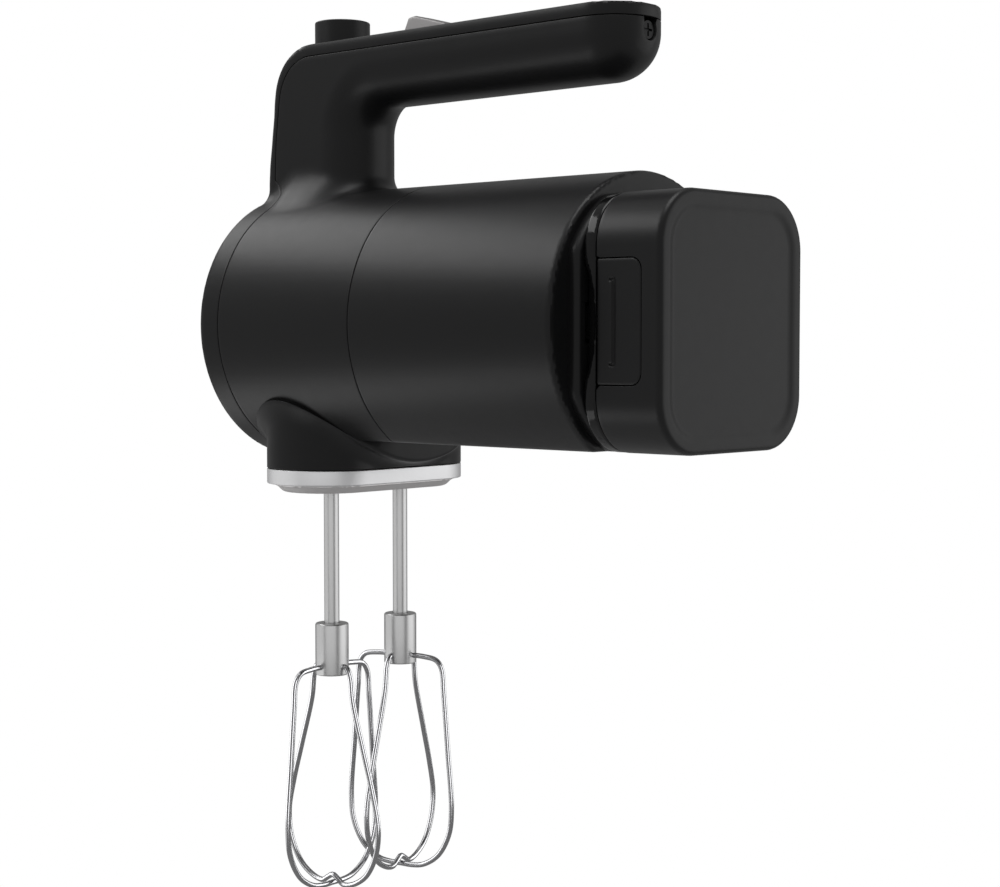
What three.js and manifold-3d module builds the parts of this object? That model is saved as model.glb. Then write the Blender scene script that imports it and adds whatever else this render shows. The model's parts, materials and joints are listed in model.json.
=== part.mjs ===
// Cordless hand mixer with a clip-on battery, two wire beaters and a worm gearbox.
// Millimetres, +Z up, +X towards the battery, -Y is the left side. The exported group has its
// origin in the middle of the hand grip; every piece is drawn in barrel coordinates, whose
// origin is on the barrel's axis at its rear rim.

import * as THREE from 'three';
import { mergeVertices } from 'three/addons/utils/BufferGeometryUtils.js';
import Module from 'manifold-3d';

const wasm = await Module();
wasm.setup();

// ---------------------------------------------------------------- driving dimensions

const GAP = 0.3; // play kept between separate pieces
const PAST = 5; // how far a cutting tool reaches past what it cuts

const BARREL_R = 50;
const WALL = 2.6;
const NOSE_X = -170.8;
const COVER_SEAM_X = -159.9;
const MID_SEAM_X = -91.1;
const FLAT_Z = -41.4; // the barrel's underside is cut flat here
const BARREL_SIDES = 60;

const GRIP_TOP_Z = 104.4;
const GRIP_SEAM_Z = 100;
const GRIP_BOTTOM_Z = 80.2;
const GRIP_HALF = 15.8;
const GRIP_CENTRE = { x: -70, z: (GRIP_TOP_Z + GRIP_BOTTOM_Z) / 2 };
const STEM_FRONT_X = -167.4;
const STEM_REAR_CENTRE_X = -140.9; // centre of the stem's half-round back
const STEM_WALL = 2.4;

const BEATER_X = -133.8;
const BEATER_Y = 17.9;
const BEATER_SHAFT_R = 2.8;
const BEATER_TOP_Z = -20;
const FERRULE = { radius: 6.2, top: -110.2, bottom: -129.5, wireZ: -126.3 };
const WIRE_R = 1;
const WIRE_BOTTOM_Z = -208;
const CAGE_R = 23.2;
const CAGE_WIDEST_Z = -184;

const COLLAR = { halfX: 22, halfY: 42, top: -52.4, bottom: -57.9, wall: 2.4 };
const BASE_BOTTOM_Z = -61;
const FAIRING = { halfX: 30, halfY: 43.8, x: -134.5, bottom: -52, rear: -104.3 };

const SHAFT_R = 2.2;
const TEETH = 20;
const WHEEL_PITCH_R = 12.5;
const WORM_PITCH_R = BEATER_Y - WHEEL_PITCH_R;
const WORM_PITCH = (2 * Math.PI * WHEEL_PITCH_R) / TEETH;
const WHEEL_FACE = 5;

const MOTOR = { radius: 18.5, front: -98, rear: -45 };

const BATTERY = { halfY: 38.5, halfZ: 41.5, corner: 18, front: 9.3, rear: 34.5, wall: 2.2 };
const LATCH = { front: 9.6, rear: 26.7, bottom: -19.4, top: 19.7, travel: 2.5, arm: 35.2 };
const CELL_R = 9.1;
const CELL_PITCH = 19.5;
const CELL_X = 20.9;

const BLADE_Y = [-12, 0, 12]; // the dock's three terminal blades

const BUTTON = { x: -145.7, radius: 10.35, top: 114.5, travel: 5 };
const SLIDER = { front: -109.5, rear: -87.5, halfY: 4.6, travel: 14 };

// ---------------------------------------------------------------- materials

/** A standard material with a colour, a roughness and a metalness. */
function finish(color, roughness, metalness = 0) {
  return new THREE.MeshStandardMaterial({ color, roughness, metalness });
}

const blackAbs = () => finish(0x232425, 0.45);
const glossBlack = () => finish(0x101011, 0.12);
const innerNylon = () => finish(0x3a3c3e, 0.6);
const silverTrim = () => finish(0xcfd0d2, 0.32, 1);
const steel = () => finish(0xc4c6c9, 0.22, 1);
const darkSteel = () => finish(0x55585c, 0.4, 1);
const bronze = () => finish(0xa8763e, 0.45, 1);
const copper = () => finish(0xb4693c, 0.35, 1);
const ferrite = () => finish(0x2e2d2f, 0.7);
const acetal = () => finish(0xe4e2da, 0.5);
const boardGreen = () => finish(0x1f5a3a, 0.5);
const cellWrap = () => finish(0x2c6aa0, 0.4);
const cableJacket = () => finish(0x8a2222, 0.5);

// ---------------------------------------------------------------- scene graph

const mixer = new THREE.Group();
mixer.position.set(-GRIP_CENTRE.x, 0, -GRIP_CENTRE.z);

/** Adds a named mesh to the mixer, drawn from a solid or a geometry. */
function piece(name, shape, material) {
  const geometry = shape.isBufferGeometry ? shape : toGeometry(shape);
  const mesh = new THREE.Mesh(geometry, material);
  mesh.name = name;
  mixer.add(mesh);
}

// ---------------------------------------------------------------- solids

/** The signed volume inside a closed triangle mesh, negative where its faces point inwards. */
function signedVolume(place, triangles) {
  const [a, b, c] = [new THREE.Vector3(), new THREE.Vector3(), new THREE.Vector3()];
  let volume = 0;
  for (let i = 0; i < triangles.length; i += 3) {
    a.fromArray(place, 3 * triangles[i]);
    b.fromArray(place, 3 * triangles[i + 1]);
    c.fromArray(place, 3 * triangles[i + 2]);
    volume += a.dot(b.cross(c)) / 6;
  }
  return volume;
}

/** Turns a closed geometry into a manifold solid whose faces point outwards. */
function solid(geometry) {
  const bare = geometry.clone();
  bare.deleteAttribute('normal');
  bare.deleteAttribute('uv');
  const merged = mergeVertices(bare, 1e-4);
  const corners = merged.index.array;
  const kept = [];
  for (let i = 0; i < corners.length; i += 3) {
    const [a, b, c] = corners.slice(i, i + 3);
    if (a !== b && b !== c && c !== a) kept.push(a, b, c);
  }
  const place = Float32Array.from(merged.attributes.position.array);
  if (signedVolume(place, kept) < 0) kept.reverse();
  const triangles = Uint32Array.from(kept);
  return new wasm.Manifold(new wasm.Mesh({ numProp: 3, vertProperties: place, triVerts: triangles }));
}

/** Turns a manifold solid back into a geometry. */
function toGeometry(body) {
  const mesh = body.getMesh();
  const geometry = new THREE.BufferGeometry();
  geometry.setAttribute('position', new THREE.BufferAttribute(mesh.vertProperties, 3));
  geometry.setIndex(new THREE.BufferAttribute(mesh.triVerts, 1));
  geometry.computeVertexNormals();
  return geometry;
}

/** Joins a list of solids. */
function join(...bodies) {
  return bodies.reduce((all, next) => all.add(next));
}

/** Cuts every tool from a body. */
function cut(body, ...tools) {
  return tools.reduce((left, tool) => left.subtract(tool), body);
}

/** A block between two corners. */
function block(x0, x1, y0, y1, z0, z1) {
  const box = new THREE.BoxGeometry(x1 - x0, y1 - y0, z1 - z0);
  box.translate((x0 + x1) / 2, (y0 + y1) / 2, (z0 + z1) / 2);
  return solid(box);
}

/** A rod of the given radius along Z. */
function rodZ(radius, x, y, z0, z1, sides = 16) {
  const rod = new THREE.CylinderGeometry(radius, radius, z1 - z0, sides);
  rod.rotateX(Math.PI / 2);
  rod.translate(x, y, (z0 + z1) / 2);
  return solid(rod);
}

/** A rod of the given radius along X. */
function rodX(radius, x0, x1, y = 0, z = 0, sides = 16) {
  const rod = new THREE.CylinderGeometry(radius, radius, x1 - x0, sides);
  rod.rotateZ(-Math.PI / 2);
  rod.translate((x0 + x1) / 2, y, z);
  return solid(rod);
}

/** A rod of the given radius along Y. */
function rodY(radius, x, y0, y1, z, sides = 16) {
  const rod = new THREE.CylinderGeometry(radius, radius, y1 - y0, sides);
  rod.translate(x, (y0 + y1) / 2, z);
  return solid(rod);
}

/** An outline in X and Y, extruded from z0 up to z1. */
function extrudeZ(shape, z0, z1, options = {}) {
  const body = new THREE.ExtrudeGeometry(shape, extrusion(z1 - z0, options));
  body.translate(0, 0, z0 + (options.bevel ?? 0));
  return solid(body);
}

/** An outline in X and Z, extruded from y0 to y1. */
function extrudeY(shape, y0, y1, options = {}) {
  const body = new THREE.ExtrudeGeometry(shape, extrusion(y1 - y0, options));
  body.rotateX(Math.PI / 2);
  body.translate(0, y1 - (options.bevel ?? 0), 0);
  return solid(body);
}

/** An outline in Y and Z, extruded from x0 to x1. */
function extrudeX(shape, x0, x1, options = {}) {
  const body = new THREE.ExtrudeGeometry(shape, extrusion(x1 - x0, options));
  const turn = new THREE.Matrix4().makeBasis(
    new THREE.Vector3(0, 1, 0),
    new THREE.Vector3(0, 0, 1),
    new THREE.Vector3(1, 0, 0),
  );
  body.applyMatrix4(turn);
  body.translate(x0 + (options.bevel ?? 0), 0, 0);
  return solid(body);
}

/** Extrusion settings: the bevel stays inside the outline and inside the length. */
function extrusion(length, { bevel = 0, segments = 2, curveSegments = 5 }) {
  return {
    depth: length - 2 * bevel,
    bevelEnabled: bevel > 0,
    bevelThickness: bevel,
    bevelSize: bevel,
    bevelOffset: -bevel,
    bevelSegments: segments,
    curveSegments,
  };
}

/** A solid of revolution about the X axis from a closed [x, radius] profile. */
function turnX(profile, sides) {
  const points = profile.map(([x, radius]) => new THREE.Vector2(radius, x));
  const lathe = new THREE.LatheGeometry(points, sides);
  lathe.rotateZ(-Math.PI / 2);
  return solid(lathe);
}

/** A solid of revolution about a vertical axis from a closed [radius, z] profile. */
function turnZ(profile, x, y, sides) {
  const points = profile.map(([radius, z]) => new THREE.Vector2(radius, z));
  const lathe = new THREE.LatheGeometry(points, sides);
  lathe.rotateX(Math.PI / 2);
  lathe.translate(x, y, 0);
  return solid(lathe);
}

/** A round bar of the given radius along a curve. */
function bar(curve, radius, steps, sides = 8) {
  const round = new THREE.Shape();
  round.absarc(0, 0, radius, 0, 2 * Math.PI);
  const options = { steps, extrudePath: curve, curveSegments: sides / 2, bevelEnabled: false };
  return new THREE.ExtrudeGeometry(round, options);
}

// ---------------------------------------------------------------- outlines

/** A rectangle with rounded corners, centred on (cx, cy). */
function roundedRect(halfX, halfY, radius, cx = 0, cy = 0) {
  const shape = new THREE.Shape();
  const quarter = Math.PI / 2;
  shape.absarc(cx + halfX - radius, cy + halfY - radius, radius, 0, quarter);
  shape.absarc(cx - halfX + radius, cy + halfY - radius, radius, quarter, 2 * quarter);
  shape.absarc(cx - halfX + radius, cy - halfY + radius, radius, 2 * quarter, 3 * quarter);
  shape.absarc(cx + halfX - radius, cy - halfY + radius, radius, 3 * quarter, 4 * quarter);
  return shape;
}

/** A stadium whose round ends point along Y. */
function stadium(halfX, halfY, cx = BEATER_X) {
  const shape = new THREE.Shape();
  shape.absarc(cx, halfY - halfX, halfX, 0, Math.PI);
  shape.absarc(cx, halfX - halfY, halfX, Math.PI, 2 * Math.PI);
  return shape;
}

/** An outline through straight points. */
function polygon(points) {
  return new THREE.Shape(points.map(([a, b]) => new THREE.Vector2(a, b)));
}

/** The stem's level section: flat front with small corners and a half-round back. */
function stemSection(inset) {
  const half = GRIP_HALF - inset;
  const corner = 4 - Math.min(inset, 2);
  const front = NOSE_X + inset;
  const shape = new THREE.Shape();
  shape.absarc(STEM_REAR_CENTRE_X, 0, half, -Math.PI / 2, Math.PI / 2);
  shape.absarc(front + corner, half - corner, corner, Math.PI / 2, Math.PI);
  shape.absarc(front + corner, -half + corner, corner, Math.PI, 1.5 * Math.PI);
  return shape;
}

/** The grip's upright section: flat top with eased edges and a half-round underside. */
function gripSection(inset) {
  const half = GRIP_HALF - inset;
  const ease = 1.6;
  const shape = new THREE.Shape();
  shape.absarc(0, GRIP_BOTTOM_Z + GRIP_HALF, half, Math.PI, 2 * Math.PI);
  shape.absarc(half - ease, GRIP_TOP_Z - ease, ease, 0, Math.PI / 2);
  shape.absarc(-half + ease, GRIP_TOP_Z - ease, ease, Math.PI / 2, Math.PI);
  return shape;
}

/** The plan of the grip, half-round at its rear end. */
function gripPlan(inset) {
  const half = GRIP_HALF - inset;
  const shape = new THREE.Shape();
  shape.absarc(-GRIP_HALF, 0, half, -Math.PI / 2, Math.PI / 2);
  shape.lineTo(NOSE_X, half);
  shape.lineTo(NOSE_X, -half);
  return shape;
}

/** Side view of everything above the barrel's axis: stem front, top corner and grip top. */
function topProfile() {
  const corner = 21;
  const shape = new THREE.Shape();
  shape.moveTo(NOSE_X, 0);
  shape.lineTo(20, 0);
  shape.lineTo(20, GRIP_TOP_Z);
  shape.lineTo(STEM_FRONT_X + corner, GRIP_TOP_Z);
  shape.absarc(STEM_FRONT_X + corner, GRIP_TOP_Z - corner, corner, Math.PI / 2, Math.PI);
  shape.lineTo(STEM_FRONT_X - 1.9, 69);
  shape.lineTo(NOSE_X, 56);
  return shape;
}

/** Side view of the cover: the nose, and a strip down the stem and along the grip. */
function coverRegion(gap) {
  const strip = STEM_FRONT_X + 4.5 - gap;
  const corner = 14.6;
  const shape = new THREE.Shape();
  shape.moveTo(NOSE_X - PAST, -BARREL_R - PAST);
  shape.lineTo(COVER_SEAM_X - gap, -BARREL_R - PAST);
  shape.lineTo(COVER_SEAM_X - gap, 49);
  shape.lineTo(strip, 52);
  const centreX = strip + corner;
  const centreZ = GRIP_SEAM_Z + gap - corner;
  shape.absarc(centreX, centreZ, corner, Math.PI, Math.PI / 2, true);
  shape.lineTo(20, GRIP_SEAM_Z + gap);
  shape.lineTo(20, GRIP_TOP_Z + PAST);
  shape.lineTo(NOSE_X - PAST, GRIP_TOP_Z + PAST);
  return shape;
}

// ---------------------------------------------------------------- housing

/** The barrel's outside from x0 to x1, with its flat underside. */
function barrelSolid(radius, x0, x1, flat) {
  const keep = block(x0 - PAST, x1 + PAST, -radius - PAST, radius + PAST, flat, radius + PAST);
  return rodX(radius, x0, x1, 0, 0, BARREL_SIDES).intersect(keep);
}

/** The nose, front barrel, stem and grip as one body, before it is split at the cover's seam. */
function frontBody() {
  const noseEase = 2.2;
  const nose = turnX(
    [
      [NOSE_X, 0],
      [NOSE_X, BARREL_R - noseEase],
      [NOSE_X + 0.3 * noseEase, BARREL_R - 0.3 * noseEase],
      [NOSE_X + noseEase, BARREL_R],
      [MID_SEAM_X - GAP / 2, BARREL_R],
      [MID_SEAM_X - GAP / 2, 0],
    ],
    BARREL_SIDES,
  );
  const flatCut = block(COVER_SEAM_X, 0, -BARREL_R, BARREL_R, -BARREL_R - PAST, FLAT_Z);
  const side = extrudeY(topProfile(), -GRIP_HALF, GRIP_HALF);
  const grip = extrudeX(gripSection(0), -150, 0).intersect(extrudeZ(gripPlan(0), 0, 120));
  const stem = extrudeZ(stemSection(0), 20, GRIP_TOP_Z - 1);
  return cut(nose, flatCut).add(grip.add(stem).intersect(side));
}

/** Everything that is hollow inside the front housing. */
function frontHollow() {
  const barrel = barrelSolid(BARREL_R - WALL, NOSE_X - PAST, 0, FLAT_Z + WALL);
  const stem = extrudeZ(stemSection(STEM_WALL), 20, 98);
  const top = GRIP_TOP_Z + PAST;
  const plan = extrudeZ(gripPlan(STEM_WALL), GRIP_BOTTOM_Z + 2.4, top);
  const section = block(-158, -GRIP_HALF, -GRIP_HALF, GRIP_HALF, GRIP_BOTTOM_Z + 3.2, top);
  const round = rodX(GRIP_HALF - STEM_WALL, -158, -GRIP_HALF, 0, GRIP_BOTTOM_Z + GRIP_HALF);
  const upper = block(-158, -GRIP_HALF, -20, 20, GRIP_BOTTOM_Z + GRIP_HALF, top);
  return join(barrel, stem, plan.intersect(section).intersect(round.add(upper)));
}

/** Front barrel, stem and the grip's lower shell. */
function mainHousing(body) {
  const shelf = block(-153, -138.5, -14, 14, 75.5, 78);
  const screwZ = 95.8;
  const screwHead = rodX(3.6, -2.3, 2, 0, screwZ);
  const screwHole = rodX(1.85, -14, 2, 0, screwZ, 16);
  const neckWindow = extrudeZ(roundedRect(15, 26, 6, BEATER_X, 0), FLAT_Z - PAST, FLAT_Z + PAST);
  const shell = cut(body, extrudeY(coverRegion(-GAP), -60, 60), frontHollow(), neckWindow);
  const rodHole = rodZ(2.9, BUTTON.x, 0, 70, 80);
  const slot = block(-165, -155, -20, 20, 98, 102);
  piece('main_housing', cut(shell.add(shelf), rodHole, screwHead, screwHole, slot), blackAbs());
}

/** The nose disc with the strip that closes the stem and the grip. */
function frontCover(body) {
  const hollow = rodX(BARREL_R - WALL - 1, NOSE_X + WALL, COVER_SEAM_X + PAST, 0, 0, BARREL_SIDES);
  const insideNose = block(NOSE_X, COVER_SEAM_X + PAST, -60, 60, FLAT_Z + WALL, 42);
  const buttonHole = rodZ(BUTTON.radius + 0.45, BUTTON.x, 0, 90, 120, 40);
  const slotEnd = SLIDER.front + 14 + SLIDER.travel;
  const sliderSlot = block(SLIDER.front + 7, slotEnd, -1.9, 1.9, 90, 120);
  const region = extrudeY(coverRegion(0), -60, 60);
  const buttonPocket = rodZ(12.8, BUTTON.x, 0, 85, 98.6, 32);
  const hollows = [hollow.intersect(insideNose), buttonHole, buttonPocket, sliderSlot];
  const cover = cut(body.intersect(region), ...hollows);
  piece('front_cover', cover, blackAbs());
}

/** The rear half of the barrel, with the web that carries the dock. */
function motorHousing() {
  const front = MID_SEAM_X + GAP / 2;
  const bevel = 1.2;
  const tube = turnX(
    [
      [front, 0],
      [front, BARREL_R],
      [-bevel, BARREL_R],
      [0, BARREL_R - bevel],
      [0, 0],
    ],
    BARREL_SIDES,
  );
  const flatCut = block(front - PAST, PAST, -60, 60, -60, FLAT_Z);
  const inside = barrelSolid(BARREL_R - WALL, front - PAST, -4.5, FLAT_Z + WALL);
  const rimRecess = barrelSolid(BARREL_R - WALL, -1.2, PAST, FLAT_Z - PAST);
  const footNotch = block(-1.2, PAST, -34, 34, -60, -20);
  const webHole = extrudeX(roundedRect(38, 38.4, 16), -PAST, 0).intersect(rodX(44, -6, 1, 0, 0, 48));
  const hollows = [inside, rimRecess, footNotch, webHole];
  piece('motor_housing', cut(tube, flatCut, ...hollows), blackAbs());
}

/** A screw along X whose cross-recessed head faces +X. */
function screwX(headX, y, z, headR, shankR, length) {
  const head = rodX(headR, headX - 1.4, headX, y, z, 20);
  const shank = rodX(shankR, headX - 1.4 - length, headX - 1.3, y, z, 14);
  const crossA = block(headX - 0.8, headX + 1, y - headR * 0.7, y + headR * 0.7, z - 0.4, z + 0.4);
  const crossB = block(headX - 0.8, headX + 1, y - 0.4, y + 0.4, z - headR * 0.7, z + headR * 0.7);
  return cut(head.add(shank), crossA, crossB);
}

/** The rounded-square boss that the battery plugs into, with its socket. */
function dockPlate() {
  const square = extrudeX(roundedRect(40.5, 41.1, 18.5), -0.9, 2.6, { bevel: 0.8, segments: 1 });
  const flange = square.intersect(rodX(BARREL_R - WALL - 2 * GAP, -2, 5, 0, 0, BARREL_SIDES));
  const tub = extrudeX(roundedRect(25.5, 21.5, 3), -16, 0);
  const pocket = extrudeX(roundedRect(23.2, 19.2, 2), -13.8, 8);
  const slots = BLADE_Y.map((y) => block(-20, 0, y - 0.9, y + 0.9, -4.6, 4.6));
  const armWindows = [-1, 1].map((side) => {
    const inner = side * (LATCH.arm - 5);
    const outer = side * (LATCH.arm + 1.9);
    return block(-3, 8, Math.min(inner, outer), Math.max(inner, outer), -6.6, 6.6);
  });
  const screwHoles = dockScrewSpots().map(([y, z]) => rodX(1.8, -3, 6, y, z, 14));
  const heads = dockScrewSpots().map(([y, z]) => rodX(3.3, 0.7, 6, y, z, 20));
  const plate = cut(flange.add(tub), pocket, ...slots, ...armWindows, ...screwHoles, ...heads);
  piece('dock_plate', plate, blackAbs());
}

/** Where the dock's two screws sit, as [y, z]. */
function dockScrewSpots() {
  return [
    [-30, 29],
    [30, 29],
  ];
}

/** The dock screws, one piece each. */
function dockScrews() {
  dockScrewSpots().forEach(([y, z], index) => {
    piece(`dock_screw_${index + 1}`, screwX(2.4, y, z, 3, 1.5, 1.8), darkSteel());
  });
}

/** Blades that carry current from the battery into the body, on their carrier. */
function dockTerminals() {
  const blades = BLADE_Y.map((y) => block(-19, -5, y - 0.5, y + 0.5, -4, 4));
  const carrier = block(-20.5, -16.5, -17, 17, -6, 6);
  piece('dock_terminals', join(carrier, ...blades), copper());
}

// ---------------------------------------------------------------- neck and collar

/** The raised neck below the front barrel. */
function gearboxNeck() {
  const top = -24;
  const column = extrudeZ(stadium(COLLAR.halfX, COLLAR.halfY), COLLAR.top + GAP, top);
  const plan = stadium(FAIRING.halfX, FAIRING.halfY, FAIRING.x);
  const round = rodX(BARREL_R, COVER_SEAM_X + GAP, FAIRING.rear, 0, 0, BARREL_SIDES);
  const fairing = extrudeZ(plan, FAIRING.bottom, FLAT_Z - GAP).intersect(round);
  const outer = column.add(fairing);
  const inner = extrudeZ(
    stadium(COLLAR.halfX - COLLAR.wall, COLLAR.halfY - COLLAR.wall),
    COLLAR.top - PAST,
    top + PAST,
  );
  const x0 = NOSE_X - PAST;
  const barrel = barrelSolid(BARREL_R + GAP, x0, 0, FLAT_Z - GAP);
  piece('gearbox_neck', cut(outer, inner, barrel), blackAbs());
}

/** The silver band round the foot of the neck. */
function collarTrim() {
  const outer = extrudeZ(stadium(COLLAR.halfX, COLLAR.halfY), COLLAR.bottom, COLLAR.top, {
    bevel: 0.4,
    segments: 1,
  });
  const inner = extrudeZ(
    stadium(COLLAR.halfX - COLLAR.wall, COLLAR.halfY - COLLAR.wall),
    COLLAR.bottom - PAST,
    COLLAR.top + PAST,
  );
  piece('collar_trim', cut(outer, inner), silverTrim());
}

/** The plate that closes the collar, with a socket for each lower bush. */
function collarBase() {
  const inset = COLLAR.wall + GAP;
  const plug = extrudeZ(stadium(COLLAR.halfX - inset, COLLAR.halfY - inset), -58.6, -53);
  const lip = extrudeZ(stadium(COLLAR.halfX - 1.4, COLLAR.halfY - 1.4), BASE_BOTTOM_Z, -58.2, {
    bevel: 1.1,
    segments: 1,
  });
  const holes = [-1, 1].map((side) => rodZ(8, BEATER_X, side * BEATER_Y, -65, -45));
  piece('collar_base', cut(plug.add(lip), ...holes), silverTrim());
}

// ---------------------------------------------------------------- motor

/** Shaft and single-start worm in one piece: a cam section twisted one turn per pitch. */
function wormShaft() {
  const front = BEATER_X - 8.2;
  const length = 16.4;
  const rootR = WORM_PITCH_R - 1.4;
  const tipR = WORM_PITCH_R + 1.2;
  const turns = [-0.5, -0.42, -0.34, -0.27, -0.2, -0.11, -0.04, 0.04, 0.11, 0.2, 0.27, 0.34, 0.42];
  const outline = turns.map((turn) => {
    const radius = turn > -0.15 && turn < 0.15 ? tipR : rootR;
    return [radius * Math.cos(turn * 2 * Math.PI), radius * Math.sin(turn * 2 * Math.PI)];
  });
  const steps = Math.round((length / WORM_PITCH) * 10);
  const settings = { depth: length, steps, bevelEnabled: false };
  const worm = new THREE.ExtrudeGeometry(polygon(outline), settings);
  const place = worm.attributes.position;
  for (let i = 0; i < place.count; i += 1) {
    const along = place.getZ(i);
    const turn = ((front + along - BEATER_X) / WORM_PITCH) * 2 * Math.PI;
    const y = place.getX(i) * Math.cos(turn) - place.getY(i) * Math.sin(turn);
    const z = place.getX(i) * Math.sin(turn) + place.getY(i) * Math.cos(turn);
    place.setXYZ(i, front + along, y, z);
  }
  const shaft = rodX(SHAFT_R, -149, -37);
  piece('worm_shaft', solid(worm).add(shaft), steel());
}

/** Laminated core with five winding slots. */
function armatureCore() {
  const slots = [];
  for (let i = 0; i < 5; i += 1) {
    const slot = block(-100, -40, -2.1, 2.1, 6, 20);
    slots.push(slot.rotate([i * 72, 0, 0]));
  }
  const core = turnX(ringProfile(-88, -60, SHAFT_R + GAP, 12.8), 25);
  piece('armature_core', cut(core, ...slots), darkSteel());
}

/** Copper coils: bars through the slots joined by the end turns. */
function armatureWindings() {
  const bars = [];
  for (let i = 0; i < 5; i += 1) {
    const wire = block(-92.5, -55.5, -1.7, 1.7, 6.4, 11.6);
    bars.push(wire.rotate([i * 72, 0, 0]));
  }
  const ends = [
    turnX(ringProfile(-92.5, -88.4, 4.2, 11.8), 18),
    turnX(ringProfile(-59.6, -55.5, 4.2, 11.8), 18),
  ];
  piece('armature_windings', join(...ends, ...bars), copper());
}

/** A ring about the X axis as a closed [x, radius] profile. */
function ringProfile(x0, x1, inner, outer) {
  return [
    [x0, inner],
    [x0, outer],
    [x1, outer],
    [x1, inner],
    [x0, inner],
  ];
}

/** Commutator segments on the motor shaft. */
function commutator() {
  const ring = turnX(ringProfile(-55, -50.4, SHAFT_R + GAP, 4.6), 15);
  const cuts = [];
  for (let i = 0; i < 5; i += 1) {
    cuts.push(block(-56, -50, -0.25, 0.25, 4.1, 6).rotate([i * 72 + 36, 0, 0]));
  }
  piece('commutator', cut(ring, ...cuts), copper());
}

/** Cooling fan behind the motor. */
function motorFan() {
  const hub = turnX(ringProfile(-43, -38, SHAFT_R + GAP, 5), 14);
  const blades = [];
  for (let i = 0; i < 7; i += 1) {
    const blade = block(-42.4, -38.4, -0.6, 0.6, 4, 15.5);
    blades.push(blade.rotate([(i * 360) / 7, 0, 0]));
  }
  piece('motor_fan', join(hub, ...blades), innerNylon());
}

/** The motor's can, end cap, magnets, bearings and brushes. */
function motorBody() {
  const { radius, front, rear } = MOTOR;
  const tube = turnX(ringProfile(front, rear - 4.2, radius - 1.4, radius), 28);
  const face = turnX(ringProfile(front, front + 1.6, 5.3, radius - 1), 28);
  piece('motor_can', tube.add(face), darkSteel());
  const cap = turnX(ringProfile(rear - 3.9, rear, 5.3, radius), 28);
  const ports = [-1, 1].map((side) => rodX(3, rear - 10, rear + 5, 0, side * 11.5, 16));
  piece('motor_end_cap', cut(cap, ...ports), innerNylon());
  for (const [name, side] of [['left', -1], ['right', 1]]) {
    const ring = turnX(ringProfile(-93, -57, 13.3, 16.8), 28);
    const keep = block(-100, -40, Math.min(0, side * 20), Math.max(0, side * 20), -11.5, 11.5);
    piece(`magnet_${name}`, ring.intersect(keep), ferrite());
    const from = side * 4.9;
    const to = side * 9.5;
    const brush = block(-54.4, -51, Math.min(from, to), Math.max(from, to), -1.6, 1.6);
    piece(`brush_${name}`, brush, ferrite());
  }
  const places = { front: [front - 1.2, front + 2.4], rear: [rear - 3.6, rear - 0.3] };
  for (const [name, [x0, x1]] of Object.entries(places)) {
    const bearing = turnX(ringProfile(x0, x1, SHAFT_R + GAP, 5), 16);
    piece(`motor_bearing_${name}`, bearing, bronze());
  }
}

// ---------------------------------------------------------------- gearbox

/** Worm wheel with the long hub that holds and turns one beater. */
function gearWheel(name, side) {
  const y = side * BEATER_Y;
  const rootR = WHEEL_PITCH_R - 1.6;
  const tipR = WHEEL_PITCH_R + 1.1;
  const toothTurn = (2 * Math.PI) / TEETH;
  const start = side < 0 ? Math.PI / 2 : -Math.PI / 2 + toothTurn / 2;
  const outline = [];
  for (let i = 0; i < TEETH; i += 1) {
    const middle = start + i * toothTurn;
    const corners = [
      [-0.27, rootR],
      [-0.12, tipR],
      [0.12, tipR],
      [0.27, rootR],
    ];
    for (const [share, radius] of corners) {
      const angle = middle + share * toothTurn;
      outline.push([BEATER_X + radius * Math.cos(angle), y + radius * Math.sin(angle)]);
    }
  }
  const teeth = extrudeZ(polygon(outline), -WHEEL_FACE / 2, WHEEL_FACE / 2);
  const hub = rodZ(5, BEATER_X, y, -59.5, 8, 18);
  const bore = rodZ(BEATER_SHAFT_R + GAP, BEATER_X, y, -65, 12, 16);
  piece(`gear_${name}`, cut(teeth.add(hub), bore), acetal());
}

/** Two plates and four posts that hold the wheels, the worm's end and the motor's face. */
function gearboxFrame() {
  const outline = roundedRect(19.5, 33, 5, BEATER_X, 0);
  const lower = extrudeZ(outline, -13, -9);
  const upper = extrudeZ(outline, 9.5, 12.5);
  const posts = [];
  for (const x of [BEATER_X - 16, BEATER_X + 16]) {
    for (const y of [-29.5, 29.5]) {
      posts.push(rodZ(2.6, x, y, -10, 10, 16));
    }
  }
  const endBlock = block(-153, -147.5, -7, 7, -10, 10);
  const motorFace = block(-117.5, -114.3, -17, 17, -12, 12);
  const mountTabs = [-1, 1].map((side) => rodX(3.2, -115, MOTOR.front - GAP, side * 12, 0, 16));
  const holes = [-1, 1].map((side) => rodZ(7.4, BEATER_X, side * BEATER_Y, -20, 20, 18));
  const wormHole = rodX(SHAFT_R + 2.6, -151, -110);
  const frame = join(lower, upper, ...posts, endBlock, motorFace, ...mountTabs);
  piece('gearbox_frame', cut(frame, ...holes, wormHole), innerNylon());
}

/** Plain bushes that carry the two hubs, and the one at the worm's free end. */
function bushes() {
  for (const [name, side] of [['left', -1], ['right', 1]]) {
    const y = side * BEATER_Y;
    const ring = (outer, z0, z1) => [
      [5.3, z0],
      [outer, z0],
      [outer, z1],
      [5.3, z1],
      [5.3, z0],
    ];
    piece(`upper_bush_${name}`, turnZ(ring(7.1, -13.4, -8.6), BEATER_X, y, 18), bronze());
    piece(`lower_bush_${name}`, turnZ(ring(7.7, -60, -53.4), BEATER_X, y, 18), bronze());
  }
  const bush = turnX(ringProfile(-150.6, -146.6, SHAFT_R + GAP, SHAFT_R + 2.3), 16);
  piece('worm_end_bush', bush, bronze());
}

// ---------------------------------------------------------------- controls

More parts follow.
